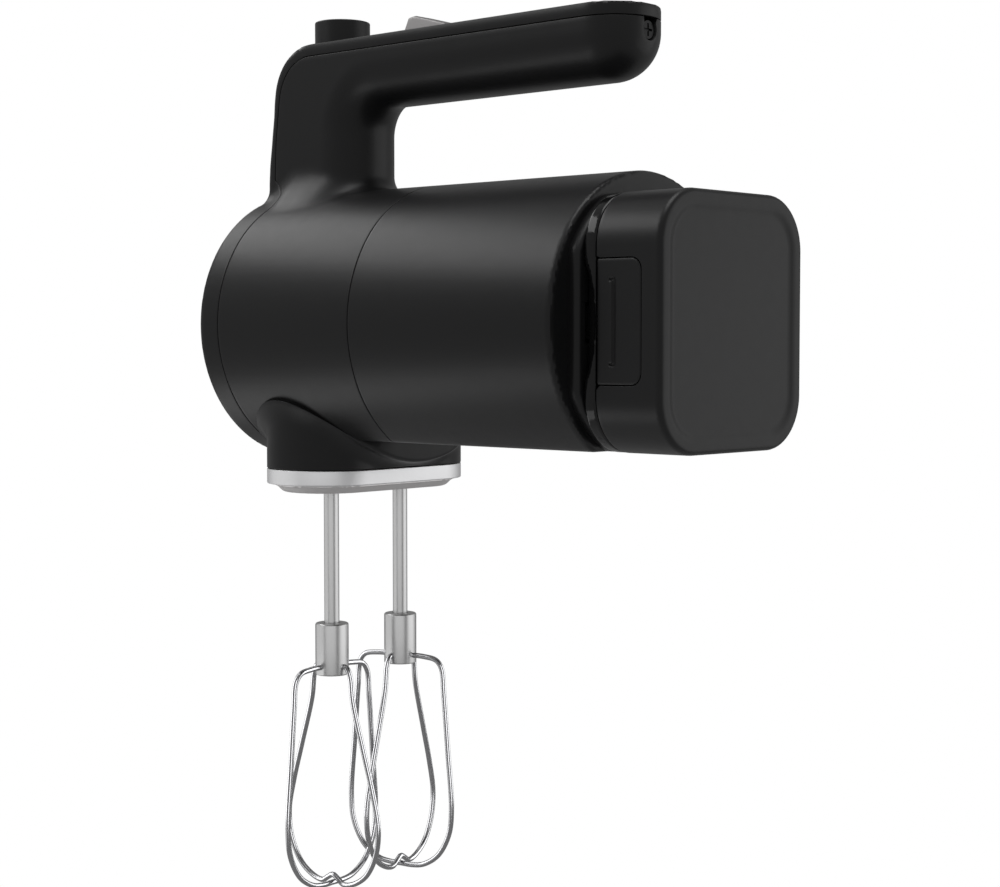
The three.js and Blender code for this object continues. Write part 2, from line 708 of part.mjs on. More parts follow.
/** The round eject button with its hidden flange. */
function ejectButton() {
  const { x, radius, top } = BUTTON;
  const profile = [
    [0, 96.4],
    [12.2, 96.4],
    [12.2, 98],
    [radius, 98],
    [radius, top - 3.4],
    [radius - 0.7, top - 2],
    [radius - 2.4, top - 0.9],
    [radius - 5.4, top - 0.2],
    [0, top],
  ];
  piece('eject_button', turnZ(profile, x, 0, 32), blackAbs());
}

/** The rod under the button, and the yoke whose two pins push the beaters out. */
function ejectLinkage() {
  const rod = rodZ(2.5, BUTTON.x, 0, 26.3, 96.1, 16);
  piece('push_rod', rod, steel());
  const plate = block(-150, -130.5, -21, 21, 22.5, 26);
  const pins = [-1, 1].map((side) => rodZ(2.3, BEATER_X, side * BEATER_Y, -14.7, 24, 16));
  piece('ejector_yoke', join(plate, ...pins), innerNylon());
}

/** A coil spring standing along Z. */
function coilZ(x, y, z0, z1, radius, wire, turns) {
  class Helix extends THREE.Curve {
    getPoint(t, target = new THREE.Vector3()) {
      const angle = t * turns * 2 * Math.PI;
      const height = z0 + wire + t * (z1 - z0 - 2 * wire);
      return target.set(x + radius * Math.cos(angle), y + radius * Math.sin(angle), height);
    }
  }
  return bar(new Helix(), wire, turns * 11, 4);
}

/** The spring that lifts the eject button. */
function ejectSpring() {
  piece('eject_spring', coilZ(BUTTON.x, 0, 78.3, 96.1, 4.4, 0.55, 5), steel());
}

/** The silver speed slider: a wedge on top, a tongue and a foot below the cover. */
function speedSlider() {
  const { front, rear, halfY } = SLIDER;
  const base = GRIP_TOP_Z + GAP;
  const side = polygon([
    [front, base],
    [rear, base],
    [rear + 0.4, base + 1],
    [rear - 3, base + 3.2],
    [front + 6.5, base + 7.5],
    [front + 3.6, base + 7.2],
  ]);
  const knob = extrudeY(side, -halfY, halfY, { bevel: 0.7, segments: 1 });
  const tongue = block(front + 7.4, front + 13.4, -1.5, 1.5, 96.5, base + 1);
  const foot = block(front + 5, front + 16, -6.5, 6.5, 95.5, 98.4);
  piece('speed_slider', join(knob, tongue, foot), silverTrim());
}

/** The speed switch inside the grip. */
function speedSwitch() {
  const body = block(-113, -78, -7.5, 7.5, 86.5, 93.4);
  const pins = [-2, 0, 2].map((y) => block(-116, -112.5, y - 0.5, y + 0.5, 88, 89));
  piece('speed_switch', join(body, ...pins), innerNylon());
}

/** The control board between the motor and the dock. */
function controlBoard() {
  const board = block(-29, -27.4, -27, 27, -25, 30);
  const chips = [
    block(-27.5, -25.8, -12, -4, 4, 12),
    block(-27.5, -25.6, 8, 20, -18, -8),
    block(-27.5, -26.2, -22, -16, -14, -6),
  ];
  const capacitor = rodX(4.5, -36.2, -28.9, 18, 18, 20);
  piece('control_board', join(board, ...chips, capacitor), boardGreen());
}

/** The lead from the control board over the motor and up the stem to the switch. */
function switchLead() {
  const route = new THREE.CatmullRomCurve3([
    new THREE.Vector3(-29.4, 10, 26),
    new THREE.Vector3(-45, 10, 27),
    new THREE.Vector3(-75, 10, 28),
    new THREE.Vector3(-104, 9, 29),
    new THREE.Vector3(-122, 7, 32),
    new THREE.Vector3(-132, 6, 42),
    new THREE.Vector3(-134.5, 5, 56),
    new THREE.Vector3(-135, 5, 72),
    new THREE.Vector3(-133, 4, 83),
    new THREE.Vector3(-126, 3, 88.6),
    new THREE.Vector3(-116.4, 3, 88.5),
  ]);
  piece('switch_lead', bar(route, 1.3, 34, 6), cableJacket());
}

// ---------------------------------------------------------------- beaters

/** Half of a wire loop as [radius, z] points, from the ferrule to the bottom centre. */
function loopHalf(wide, hump) {
  const wireZ = FERRULE.wireZ;
  const shoulder = wide
    ? [
        [3.6, wireZ],
        [11, wireZ - 0.2],
        [16.4, wireZ - 1.2],
        [18.8, wireZ - 4.2],
        [19.8, -140],
        [21.6, -162],
      ]
    : [
        [3.6, wireZ],
        [7.3, wireZ - 0.1],
        [9.2, wireZ - 3.2],
        [10.6, -139],
        [16, -157],
        [20.6, -172],
      ];
  const belly = [
    [CAGE_R, CAGE_WIDEST_Z],
    [CAGE_R - 1.2, -194],
    [CAGE_R - 6, -202.6],
    [CAGE_R - 12.6, -207],
  ];
  const foot = hump
    ? [
        [5.4, WIRE_BOTTOM_Z],
        [2.6, WIRE_BOTTOM_Z + 1.6],
      ]
    : [[5.4, WIRE_BOTTOM_Z]];
  return [...shoulder, ...belly, ...foot];
}

/** One bent wire loop of a beater, standing at an angle about the beater's axis. */
function wireLoop(side, angle, wide, hump) {
  const half = loopHalf(wide, hump);
  const bottom = [0, WIRE_BOTTOM_Z + (hump ? 2.9 : 0)];
  const whole = [...half, bottom, ...half.toReversed().map(([radius, z]) => [-radius, z])];
  const points = whole.map(
    ([radius, z]) =>
      new THREE.Vector3(
        BEATER_X + radius * Math.cos(angle),
        side * BEATER_Y + radius * Math.sin(angle),
        z,
      ),
  );
  return bar(new THREE.CatmullRomCurve3(points), WIRE_R, 48);
}

/** Shaft, ferrule and two crossed wire loops of one beater. */
function beater(name, side, wideAngle) {
  const y = side * BEATER_Y;
  const crossAngle = wideAngle + Math.PI / 2;
  const shaft = rodZ(BEATER_SHAFT_R, BEATER_X, y, -128.8, BEATER_TOP_Z, 20);
  const flats = [-1, 1].map((way) => {
    const near = BEATER_X + way * 2.2;
    const far = BEATER_X + way * 5;
    return block(Math.min(near, far), Math.max(near, far), y - 5, y + 5, -30, -20 + 1);
  });
  piece(`beater_${name}_shaft`, cut(shaft, ...flats), steel());
  const sleeve = turnZ(
    [
      [BEATER_SHAFT_R + GAP, FERRULE.bottom],
      [FERRULE.radius - 0.6, FERRULE.bottom],
      [FERRULE.radius, FERRULE.bottom + 0.6],
      [FERRULE.radius, FERRULE.top - 0.8],
      [FERRULE.radius - 0.8, FERRULE.top],
      [BEATER_SHAFT_R + GAP, FERRULE.top],
      [BEATER_SHAFT_R + GAP, FERRULE.bottom],
    ],
    BEATER_X,
    y,
    20,
  );
  const wireHoles = [wideAngle, crossAngle].map((angle) => {
    const hole = new THREE.CylinderGeometry(WIRE_R + 0.35, WIRE_R + 0.35, 20, 10);
    hole.rotateZ(angle - Math.PI / 2);
    hole.translate(BEATER_X, y, FERRULE.wireZ - 0.1);
    return solid(hole);
  });
  piece(`beater_${name}_ferrule`, cut(sleeve, ...wireHoles), steel());
  piece(`beater_${name}_wide_loop`, wireLoop(side, wideAngle, true, false), steel());
  piece(`beater_${name}_cross_loop`, wireLoop(side, crossAngle, false, true), steel());
}

// ---------------------------------------------------------------- battery

/** The glossy front of the battery: a plate with the tongue that enters the dock. */
function batteryCollar() {
  const { halfY, halfZ, corner } = BATTERY;
  const plate = extrudeX(roundedRect(halfY + 0.1, halfZ - 0.1, corner), 3.2, 9);
  const plateHole = extrudeX(roundedRect(20.3, 16.3, 1.5), 0, 12);
  const tongue = extrudeX(roundedRect(22.8, 18.8, 2), -11, 4);
  const tongueHollow = extrudeX(roundedRect(20.3, 16.3, 1.5), -9, 5);
  const slots = BLADE_Y.map((y) => block(-14, -5, y - 0.9, y + 0.9, -4.6, 4.6));
  const scoops = [-1, 1].map((side) => {
    const from = side * (halfY - 5);
    const to = side * (halfY + 3);
    return rodY(44.3, -35.6, Math.min(from, to), Math.max(from, to), 0.2, 72);
  });
  const armWindows = [-1, 1].map((side) => {
    const inner = side * (LATCH.arm - 5);
    const outer = side * (LATCH.arm + 0.4);
    return block(0, 12, Math.min(inner, outer), Math.max(inner, outer), -6, 6);
  });
  const body = cut(plate, plateHole, ...scoops, ...armWindows).add(cut(tongue, tongueHollow));
  piece('battery_collar', cut(body, ...slots), glossBlack());
}

/** The battery's casing, open towards the collar, with a window for each latch. */
function batteryCase() {
  const { halfY, halfZ, corner, front, rear, wall } = BATTERY;
  const ease = 3.4;
  const outer = extrudeX(roundedRect(halfY, halfZ, corner), front - ease, rear, { bevel: ease });
  const frontCut = block(front - 2 * ease, front, -60, 60, -60, 60);
  const hollow = extrudeX(
    roundedRect(halfY - wall, halfZ - wall, corner - wall),
    front - PAST,
    rear - wall,
  );
  const middleX = (LATCH.front + LATCH.rear) / 2 - PAST;
  const halfX = (LATCH.rear - LATCH.front) / 2 + PAST + GAP;
  const middleZ = (LATCH.bottom + LATCH.top) / 2;
  const reachZ = (LATCH.top - LATCH.bottom) / 2 + GAP;
  const window = extrudeY(roundedRect(halfX, reachZ, 4, middleX, middleZ), -60, 60);
  piece('battery_case', cut(outer, frontCut, hollow, window), blackAbs());
}

/** A side latch: its pad, a guide post, and the arm that reaches into the dock. */
function batteryLatch(name, side) {
  const { front, rear, bottom, top, arm } = LATCH;
  const face = BATTERY.halfY;
  const mirror = (near, far, make) => {
    const ends = [side * near, side * far];
    return make(Math.min(...ends), Math.max(...ends));
  };
  const halfX = (rear - front) / 2;
  const halfZ = (top - bottom) / 2;
  const outline = roundedRect(halfX, halfZ, 3.7, (front + rear) / 2, (bottom + top) / 2);
  const inner = face - BATTERY.wall;
  const pad = mirror(inner, face, (y0, y1) => extrudeY(outline, y0, y1));
  const edge = front + 5;
  const squareFront = mirror(inner, face, (y0, y1) => block(front, edge, y0, y1, bottom, top));
  const groove = mirror(face - 0.5, face + 1, (y0, y1) => block(15.6, 16.4, y0, y1, -13.4, 13.6));
  const reach = mirror(arm - 2, arm, (y0, y1) => block(-3.2, front + 3, y0, y1, -5.2, 5.2));
  const root = mirror(arm - 2, face - 1, (y0, y1) => block(front, front + 3, y0, y1, -5.2, 5.2));
  const barb = mirror(arm - 1, arm + 1.4, (y0, y1) => block(-3.2, -1.3, y0, y1, -5.2, 5.2));
  const post = mirror(face - 4.7, face - 1, (y0, y1) => rodY(1.4, 21.5, y0, y1, 0, 14));
  const body = join(pad, squareFront, reach, root, barb, post);
  piece(`latch_${name}`, cut(body, groove), blackAbs());
}

/** The spring behind a latch pad, drawn at its pressed length. */
function latchSpring(name, side) {
  const spring = coilZ(21.5, 0, 31.3, 33.4, 2.5, 0.3, 3);
  spring.rotateX(-side * Math.PI / 2);
  piece(`latch_spring_${name}`, spring, steel());
}

/** The three cells, their holder and the battery's circuit board. */
function batteryInside() {
  [-1, 0, 1].forEach((place, index) => {
    const y = place * CELL_PITCH;
    const can = [
      [0, -32.4],
      [CELL_R, -32.4],
      [CELL_R, 31.6],
      [CELL_R - 0.9, 32.2],
      [3, 32.2],
      [3, 33.2],
      [0, 33.2],
    ];
    piece(`cell_${index + 1}`, turnZ(can, CELL_X, y, 18), cellWrap());
  });
  const outer = extrudeX(roundedRect(30.8, 35.6, 2.5), 13, 29);
  const inner = extrudeX(roundedRect(29, 33.6, 1.5), 12, 30);
  piece('cell_holder', cut(outer, inner), innerNylon());
  const board = block(9.5, 10.9, -26, 26, -28, 28);
  const clips = BLADE_Y.map((y) => {
    const clip = block(-8.4, 9.6, y - 2, y + 2, -3.4, 3.4);
    return cut(clip, block(-9, 4, y - 0.85, y + 0.85, -4.4, 4.4));
  });
  piece('battery_board', join(board, ...clips), boardGreen());
}

// ---------------------------------------------------------------- assembly

const body = frontBody();
mainHousing(body);
frontCover(body);
motorHousing();
piece('grip_screw', screwX(-0.6, 0, 95.8, 3, 1.5, 10), darkSteel());
dockPlate();
dockScrews();
dockTerminals();
gearboxNeck();
collarTrim();
collarBase();

motorBody();
wormShaft();
armatureCore();
armatureWindings();
commutator();
motorFan();

gearWheel('left', -1);
gearWheel('right', 1);
gearboxFrame();
bushes();

ejectButton();
ejectLinkage();
ejectSpring();
speedSlider();
speedSwitch();
controlBoard();
switchLead();

beater('left', -1, THREE.MathUtils.degToRad(92.5));
beater('right', 1, THREE.MathUtils.degToRad(11.5));

batteryCollar();
batteryCase();
batteryInside();
for (const [name, side] of [['left', -1], ['right', 1]]) {
  batteryLatch(name, side);
  latchSpring(name, side);
}

export default mixer;
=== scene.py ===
"""Looks of a cordless hand mixer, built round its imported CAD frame.

Sizes are written in barrel millimetres: +X runs along the motor barrel to the battery, the left
side is -Y, x is 0 at the barrel's rear rim and z is 0 on the barrel's axis. Moulded pieces are
signed functions (negative inside, about a millimetre per unit) that are turned into meshes.
"""

import json
import logging
import math
from collections.abc import Callable, Sequence
from dataclasses import dataclass, field
from enum import Enum
from typing import Any

import bpy
import numpy as np
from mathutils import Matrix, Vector
from numpy.typing import NDArray

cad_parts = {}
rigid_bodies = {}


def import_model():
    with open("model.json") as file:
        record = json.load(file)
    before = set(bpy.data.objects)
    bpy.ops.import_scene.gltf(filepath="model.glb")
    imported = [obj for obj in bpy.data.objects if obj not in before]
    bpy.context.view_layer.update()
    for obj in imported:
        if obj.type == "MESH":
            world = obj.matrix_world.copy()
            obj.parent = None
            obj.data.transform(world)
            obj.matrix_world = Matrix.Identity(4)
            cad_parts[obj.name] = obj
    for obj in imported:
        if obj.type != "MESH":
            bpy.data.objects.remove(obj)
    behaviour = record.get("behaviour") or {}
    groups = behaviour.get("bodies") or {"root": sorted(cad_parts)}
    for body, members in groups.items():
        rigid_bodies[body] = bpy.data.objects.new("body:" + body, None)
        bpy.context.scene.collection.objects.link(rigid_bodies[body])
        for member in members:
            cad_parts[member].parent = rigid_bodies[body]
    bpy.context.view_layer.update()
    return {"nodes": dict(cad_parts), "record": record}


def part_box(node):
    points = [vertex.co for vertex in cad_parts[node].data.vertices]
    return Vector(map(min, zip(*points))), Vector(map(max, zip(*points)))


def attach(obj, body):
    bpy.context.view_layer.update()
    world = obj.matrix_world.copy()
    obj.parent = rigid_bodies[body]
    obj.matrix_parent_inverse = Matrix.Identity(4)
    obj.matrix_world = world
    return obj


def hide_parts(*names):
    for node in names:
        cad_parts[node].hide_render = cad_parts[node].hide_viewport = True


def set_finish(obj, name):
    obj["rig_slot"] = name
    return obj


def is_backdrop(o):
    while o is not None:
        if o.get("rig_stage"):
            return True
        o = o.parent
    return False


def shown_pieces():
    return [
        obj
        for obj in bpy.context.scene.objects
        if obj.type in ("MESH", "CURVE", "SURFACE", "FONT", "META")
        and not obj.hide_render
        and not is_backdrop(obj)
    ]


Array = NDArray[np.float64]
Field = Callable[[Array], Array]

LOG = logging.getLogger("mixer")
MM = 0.001
SMOOTH_ANGLE = math.radians(38)
FACET_ANGLE = math.radians(28)
BLOTCH_SCALE = 220.0  # blotches of about 4.5 mm

# The barrel and its seams.
BARREL_R = 50.0
NOSE_X = -170.8
FLAT_Z = -41.4
COVER_SEAM_X = -159.9
MID_SEAM_X = -91.1
GAP = 0.3
FAR = -9.0  # a signed value that leaves a cut untouched

# The studio: what the lights face, and the white sheet behind it, in metres.
BARREL_MIDDLE = (-80.0, 0.0, 0.0)
SHEET_HALF = 1.8
SHEET_AWAY = 2.0

# The stem and the grip.
GRIP_TOP_Z = 104.4
GRIP_SEAM_Z = 100.0
GRIP_AXIS_Z = 95.8
GRIP_HALF = 16.0
GRIP_REAR_X = -15.4
STEM_BACK_X = -140.9
STEM_FRONT_X = -167.4
STEM_FOOT_Z = 20.0
INNER_CORNER = 9.5
TOP_CORNER = 21.0
SCREW_RECESS_R = 3.6

# The neck, the collar and the beaters.
BEATER_X = -133.8
BEATER_Y = 17.9
COLLAR_HALF = (22.0, 42.0)
COLLAR_TOP_Z = -52.4
COLLAR_BOTTOM_Z = -57.9
COLLAR_WALL = 2.4
BASE_HOLE_R = 8.0
FAIRING_X = -134.5
FAIRING_HALF = (30.0, 43.8)
SHAFT_R = 2.8
SHAFT_Z = (-128.8, -20.0)
FERRULE_R = 6.2
FERRULE_BORE_R = 3.1
FERRULE_Z = (-129.5, -110.2)
WIRE_R = 1.0

# The dock and the battery.
BOSS_HALF = (41.0, 41.4)
BOSS_CORNER = 18.5
BOSS_TRIM_R = 46.8
BATTERY_HALF = (38.5, 41.5)
BATTERY_CORNER = 18.0
BATTERY_REAR_X = 34.5
CASE_FRONT_X = 9.3
LATCH_X = (9.6, 26.7)
LATCH_Z = (-19.4, 19.7)
LATCH_MIDDLE = (sum(LATCH_X) / 2, sum(LATCH_Z) / 2)
LATCH_HALF = ((LATCH_X[1] - LATCH_X[0]) / 2, (LATCH_Z[1] - LATCH_Z[0]) / 2)

# The controls on the grip.
BUTTON_X = -145.7
BUTTON_R = 10.35
BUTTON_FLANGE_R = 12.2
BUTTON_HOLE_R = 10.8
SLIDER_X = (-109.5, -87.5)
SLIDER_SLOT_X = -91.5
SLIDER_SLOT_HALF = (11.0, 1.9)


class Body(Enum):
    """The moving bodies of the frame that pieces ride on."""

    ROOT = "root"
    BATTERY = "battery"
    LATCH_LEFT = "latch_left"
    LATCH_RIGHT = "latch_right"
    EJECTOR = "ejector"
    SLIDER = "slider"
    BEATER_LEFT = "beater_left"
    BEATER_RIGHT = "beater_right"


# ------------------------------------------------------------------ signed functions


def round_join(a: Array, b: Array, radius: float | Array) -> Array:
    """Union of two signed functions with a concave fillet.

    Args:
        a: First signed function.
        b: Second signed function.
        radius: Fillet radius in millimetres.

    Returns:
        The signed function of the union.
    """
    corner = np.hypot(np.maximum(radius - a, 0), np.maximum(radius - b, 0))
    return np.maximum(radius, np.minimum(a, b)) - corner


def round_meet(a: Array, b: Array, radius: float | Array) -> Array:
    """Intersection of two signed functions with a rounded outer edge.

    Args:
        a: First signed function.
        b: Second signed function.
        radius: Edge radius in millimetres.

    Returns:
        The signed function of the intersection.
    """
    corner = np.hypot(np.maximum(radius + a, 0), np.maximum(radius + b, 0))
    return np.minimum(-radius, np.maximum(a, b)) + corner


def smooth(value: Array, start: float, end: float) -> Array:
    """An S-shaped step from 0 at start to 1 at end."""
    t = np.clip((value - start) / (end - start), 0, 1)
    return t * t * (3 - 2 * t)


def rounded_box(a: Array, b: Array, half: tuple[float, float], corner: float) -> Array:
    """Signed distance of a rounded rectangle centred on the origin.

    Args:
        a: First coordinate.
        b: Second coordinate.
        half: Half sizes along the two coordinates.
        corner: Corner radius.

    Returns:
        The signed distance.
    """
    qa = np.abs(a) - half[0] + corner
    qb = np.abs(b) - half[1] + corner
    outside = np.hypot(np.maximum(qa, 0), np.maximum(qb, 0))
    return outside + np.minimum(np.maximum(qa, qb), 0) - corner


def span(value: Array, low: float, high: float) -> Array:
    """Signed distance of the slab between low and high."""
    return np.abs(value - (low + high) / 2) - (high - low) / 2


def stadium(x: Array, y: Array, half: tuple[float, float], centre: float) -> Array:
    """Signed distance of a stadium outline whose round ends point along Y.

    Args:
        x: X coordinates.
        y: Y coordinates.
        half: Half width (X) and half length (Y).
        centre: X of its centre.

    Returns:
        The signed distance.
    """
    reach = np.maximum(np.abs(y) - (half[1] - half[0]), 0)
    return np.hypot(x - centre, reach) - half[0]


def barrel_section(y: Array, z: Array) -> Array:
    """Signed distance of the barrel's level section, without its flat."""
    return np.hypot(y, z) - BARREL_R


def front_profile(x: Array, z: Array) -> Array:
    """Side view of the front: flat nose, a stem that leans back, a rounded top corner."""
    lean = np.interp(z, [54, 60, 69, 79, 86], [0, 0.4, 1.6, 2.9, 3.4])
    return round_meet(NOSE_X + lean - x, z - GRIP_TOP_Z, TOP_CORNER)


def front_body(p: Array) -> Array:
    """Barrel, stem and grip as one soft-cornered body.

    The grip and the stem are the points within one half-width of a flat core in the middle
    plane, which gives them round undersides and ends and keeps their sides straight.

    Args:
        p: Points, one row each.

    Returns:
        The signed function at each point.
    """
    x, y, z = p.T
    stem = np.hypot(np.maximum(x - STEM_BACK_X, 0), np.maximum(STEM_FOOT_Z - z, 0))
    grip = np.hypot(np.maximum(x - GRIP_REAR_X, 0), np.maximum(GRIP_AXIS_Z - z, 0))
    core = round_join(stem - GRIP_HALF, grip - GRIP_HALF, INNER_CORNER) + GRIP_HALF
    handle = np.hypot(y, np.maximum(core, 0)) - GRIP_HALF
    flat = FLAT_Z - z - 0.6 * np.maximum(-140 - x, 0)
    barrel = round_meet(barrel_section(y, z), flat, 0.8)
    fillet = 4.0 + 8.0 * smooth(x, -170, -154) - 6.0 * smooth(x, -148, -124)
    whole = round_join(handle, barrel, fillet)
    edge = 2.2 - 1.1 * smooth(z, 84, 100)
    return round_meet(whole, front_profile(x, z), edge)


def cover_region(p: Array) -> Array:
    """Negative on the front cover: the nose and a strip up the stem and along the grip."""
    x, _, z = p.T
    stem = [COVER_SEAM_X, -166.4, -165.8, STEM_FRONT_X + 3.6]
    seam = np.interp(z, [49, 55, 69, 85], stem)
    return -round_meet(seam - x, z - GRIP_SEAM_Z, 16.8)


def motor_body(p: Array) -> Array:
    """The rear half of the barrel, closed by a flat rear face with a small edge."""
    x, y, z = p.T
    tube = round_meet(barrel_section(y, z), FLAT_Z - z, 0.8)
    return round_meet(tube, x + 0.05, 1.2)


def neck_body(p: Array) -> Array:
    """The fairing under the barrel with the collar's column dropping from it."""
    x, y, z = p.T
    column = np.maximum(stadium(x, y, COLLAR_HALF, BEATER_X), z + 20)
    return round_join(barrel_section(y, z) - 0.22, column, 5.0)


def dock_body(p: Array) -> Array:
    """The dock: a rounded-square boss trimmed by the rim, over a tub with a socket."""
    x, y, z = p.T
    square = rounded_box(y, z, BOSS_HALF, BOSS_CORNER)
    outline = round_meet(square, np.hypot(y, z) - BOSS_TRIM_R, 1.0)
    boss = round_meet(outline, span(x, -4.0, 3.9), 2.0)
    tub = np.maximum(rounded_box(y, z, (25.5, 21.5), 3.0), span(x, -16.0, 0.0))
    socket = np.maximum(rounded_box(y, z, (23.2, 19.2), 2.0), -13.8 - x)
    blades = np.maximum(np.abs(np.abs(y - 6) - 6), 0) - 0.9
    blades = np.minimum(blades, np.abs(y + 12) - 0.9)
    slots = np.maximum(blades, np.abs(z) - 4.6)
    arms = np.maximum(span(np.abs(y), 30.2, 37.1), span(z, -6.6, 6.6))
    heads = np.maximum(np.hypot(np.abs(y) - 30, z - 29) - 3.3, 0.7 - x)
    holes = np.minimum.reduce([socket, slots, arms, heads])
    return round_meet(np.minimum(boss, tub), -holes, 0.3)


def collar_body(p: Array) -> Array:
    """The battery's glossy front: a rounded square with finger scoops and a hollow tongue."""
    x, y, z = p.T
    half = (BATTERY_HALF[0] + 0.1, BATTERY_HALF[1] - 0.1)
    plate = round_meet(rounded_box(y, z, half, BATTERY_CORNER), span(x, 4.3, 9.0), 0.8)
    scoop = np.maximum(np.hypot(x + 35.6, z - 0.2) - 44.3, 36.4 - np.abs(y))
    plate = round_meet(plate, -scoop, 0.5)
    tongue = round_meet(rounded_box(y, z, (22.8, 18.8), 2.0), span(x, -11.0, 4.0), 0.4)
    hollow = np.maximum(rounded_box(y, z, (20.3, 16.3), 1.5), -9.0 - x)
    return np.maximum(np.minimum(plate, tongue), -hollow)


def base_body(p: Array) -> Array:
    """The plate that closes the collar: a tapered lip under a plug, with two holes."""
    x, y, z = p.T
    outline = stadium(x, y, COLLAR_HALF, BEATER_X)
    lip = round_meet(outline + 2.8 + 1.0 * (COLLAR_BOTTOM_Z - z), span(z, -61.0, -57.6), 0.9)
    plug = np.maximum(outline + 2.9, span(z, -58.6, -53.0))
    holes = np.hypot(x - BEATER_X, np.abs(y) - BEATER_Y) - BASE_HOLE_R
    return round_meet(np.minimum(lip, plug), -holes, 0.5)


def battery_body(p: Array) -> Array:
    """The battery's case: soft rear edges round a shallow recessed panel."""
    x, y, z = p.T
    wall = rounded_box(y, z, BATTERY_HALF, BATTERY_CORNER)
    panel = 0.8 * smooth(-wall, 4.0, 7.4)
    return round_meet(wall, x - BATTERY_REAR_X + panel, 1.8)


def latch_body(p: Array) -> Array:
    """The left latch: its pad with a finger groove, its arm, barb and post."""
    x, y, z = p.T
    face = -BATTERY_HALF[0]
    outline = rounded_box(x - LATCH_MIDDLE[0], z - LATCH_MIDDLE[1], LATCH_HALF, 3.7)
    square = rounded_box(x - LATCH_X[0] - 4, z - LATCH_MIDDLE[1], (4.0, LATCH_HALF[1]), 0.6)
    pad = round_meet(np.minimum(outline, square), span(y, face, face + 2.2), 0.45)
    groove = rounded_box(x - 16, z - 0.1, (0.45, 13.5), 0.4)
    ends = rounded_box(x - 15.3, np.abs(z - 0.1) - 13.2, (1.1, 0.4), 0.35)
    groove = np.maximum(np.minimum(groove, ends), y - face - 0.7)
    pad = np.maximum(pad, -groove)
    arm = np.maximum(rounded_box(x - 4.65, z, (7.85, 5.2), 0.8), span(y, -35.2, -33.2))
    root = np.maximum(rounded_box(x - 11.05, z, (1.45, 5.2), 0.4), span(y, face + 1, -33.2))
    barb = np.maximum(rounded_box(x + 2.25, z, (0.95, 5.2), 0.3), span(y, -36.6, -34.2))
    post = np.maximum(np.hypot(x - 21.5, z) - 1.4, span(y, face + 1, face + 4.6))
    return np.minimum.reduce([pad, arm, root, barb, post])


def slider_body(p: Array) -> Array:
    """The speed slider: a wedge that peaks near its front, on a tongue and a foot."""
    x, y, z = p.T
    front, rear = SLIDER_X
    base = GRIP_TOP_Z + GAP
    steep = (-(x - front) * 7.2 + (z - base) * 3.6) / 8.05
    crest = ((x - front - 3.6) * -0.3 + (z - base - 6.2) * 2.9) / 2.92
    slope = ((x - front - 6.5) * 3.3 + (z - base - 6.5) * 12.5) / 12.93
    heel = ((x - rear) * 1.0 + (z - base - 1.0) * 1.3 - 0.5) / 1.64
    side = np.maximum.reduce([crest, slope, x - rear])
    side = round_meet(round_meet(steep, side, 0.5), heel, 0.5)
    side = np.maximum(side, base - z)
    wedge = round_meet(side, np.abs(y) - 4.6, 0.7)
    tongue = np.maximum(rounded_box(x + 99.1, y, (3.0, 1.5), 0.3), span(z, 96.5, base + 1))
    foot = np.maximum(rounded_box(x + 99.0, y, (5.5, 6.5), 0.5), span(z, 95.5, 98.4))
    return np.minimum.reduce([wedge, tongue, foot])


# ------------------------------------------------------------------ meshes


@dataclass
class Surface:
    """A triangle mesh in barrel millimetres.

    Attributes:
        points: Vertices, one row each.
        triangles: Vertex indices, one row each.
    """

    points: Array
    triangles: NDArray[np.int64]

    def mirrored(self) -> "Surface":
        """The same surface on the other side of the middle plane."""
        return Surface(self.points * [1, -1, 1], self.triangles[:, ::-1])

    def compact(self) -> "Surface":
        """The same surface without unused vertices."""
        used, index = np.unique(self.triangles, return_inverse=True)
        return Surface(self.points[used], index.reshape(-1, 3))


def gradient(function: Field, points: Array) -> Array:
    """The slope of a signed function, by central differences."""
    step = 0.02
    slopes = np.empty_like(points)
    for axis in range(3):
        offset = np.zeros(3)
        offset[axis] = step
        slopes[:, axis] = (function(points + offset) - function(points - offset)) / (2 * step)
    return slopes


def settle(function: Field, points: Array, rounds: int = 4) -> Array:
    """Moves points onto the surface of a signed function by Newton steps."""
    for _ in range(rounds):
        slope = gradient(function, points)
        length = np.maximum((slope**2).sum(1), 0.05)
        step = slope * (function(points) / length)[:, None]
        points = points - np.clip(step, -0.6, 0.6)
    return points


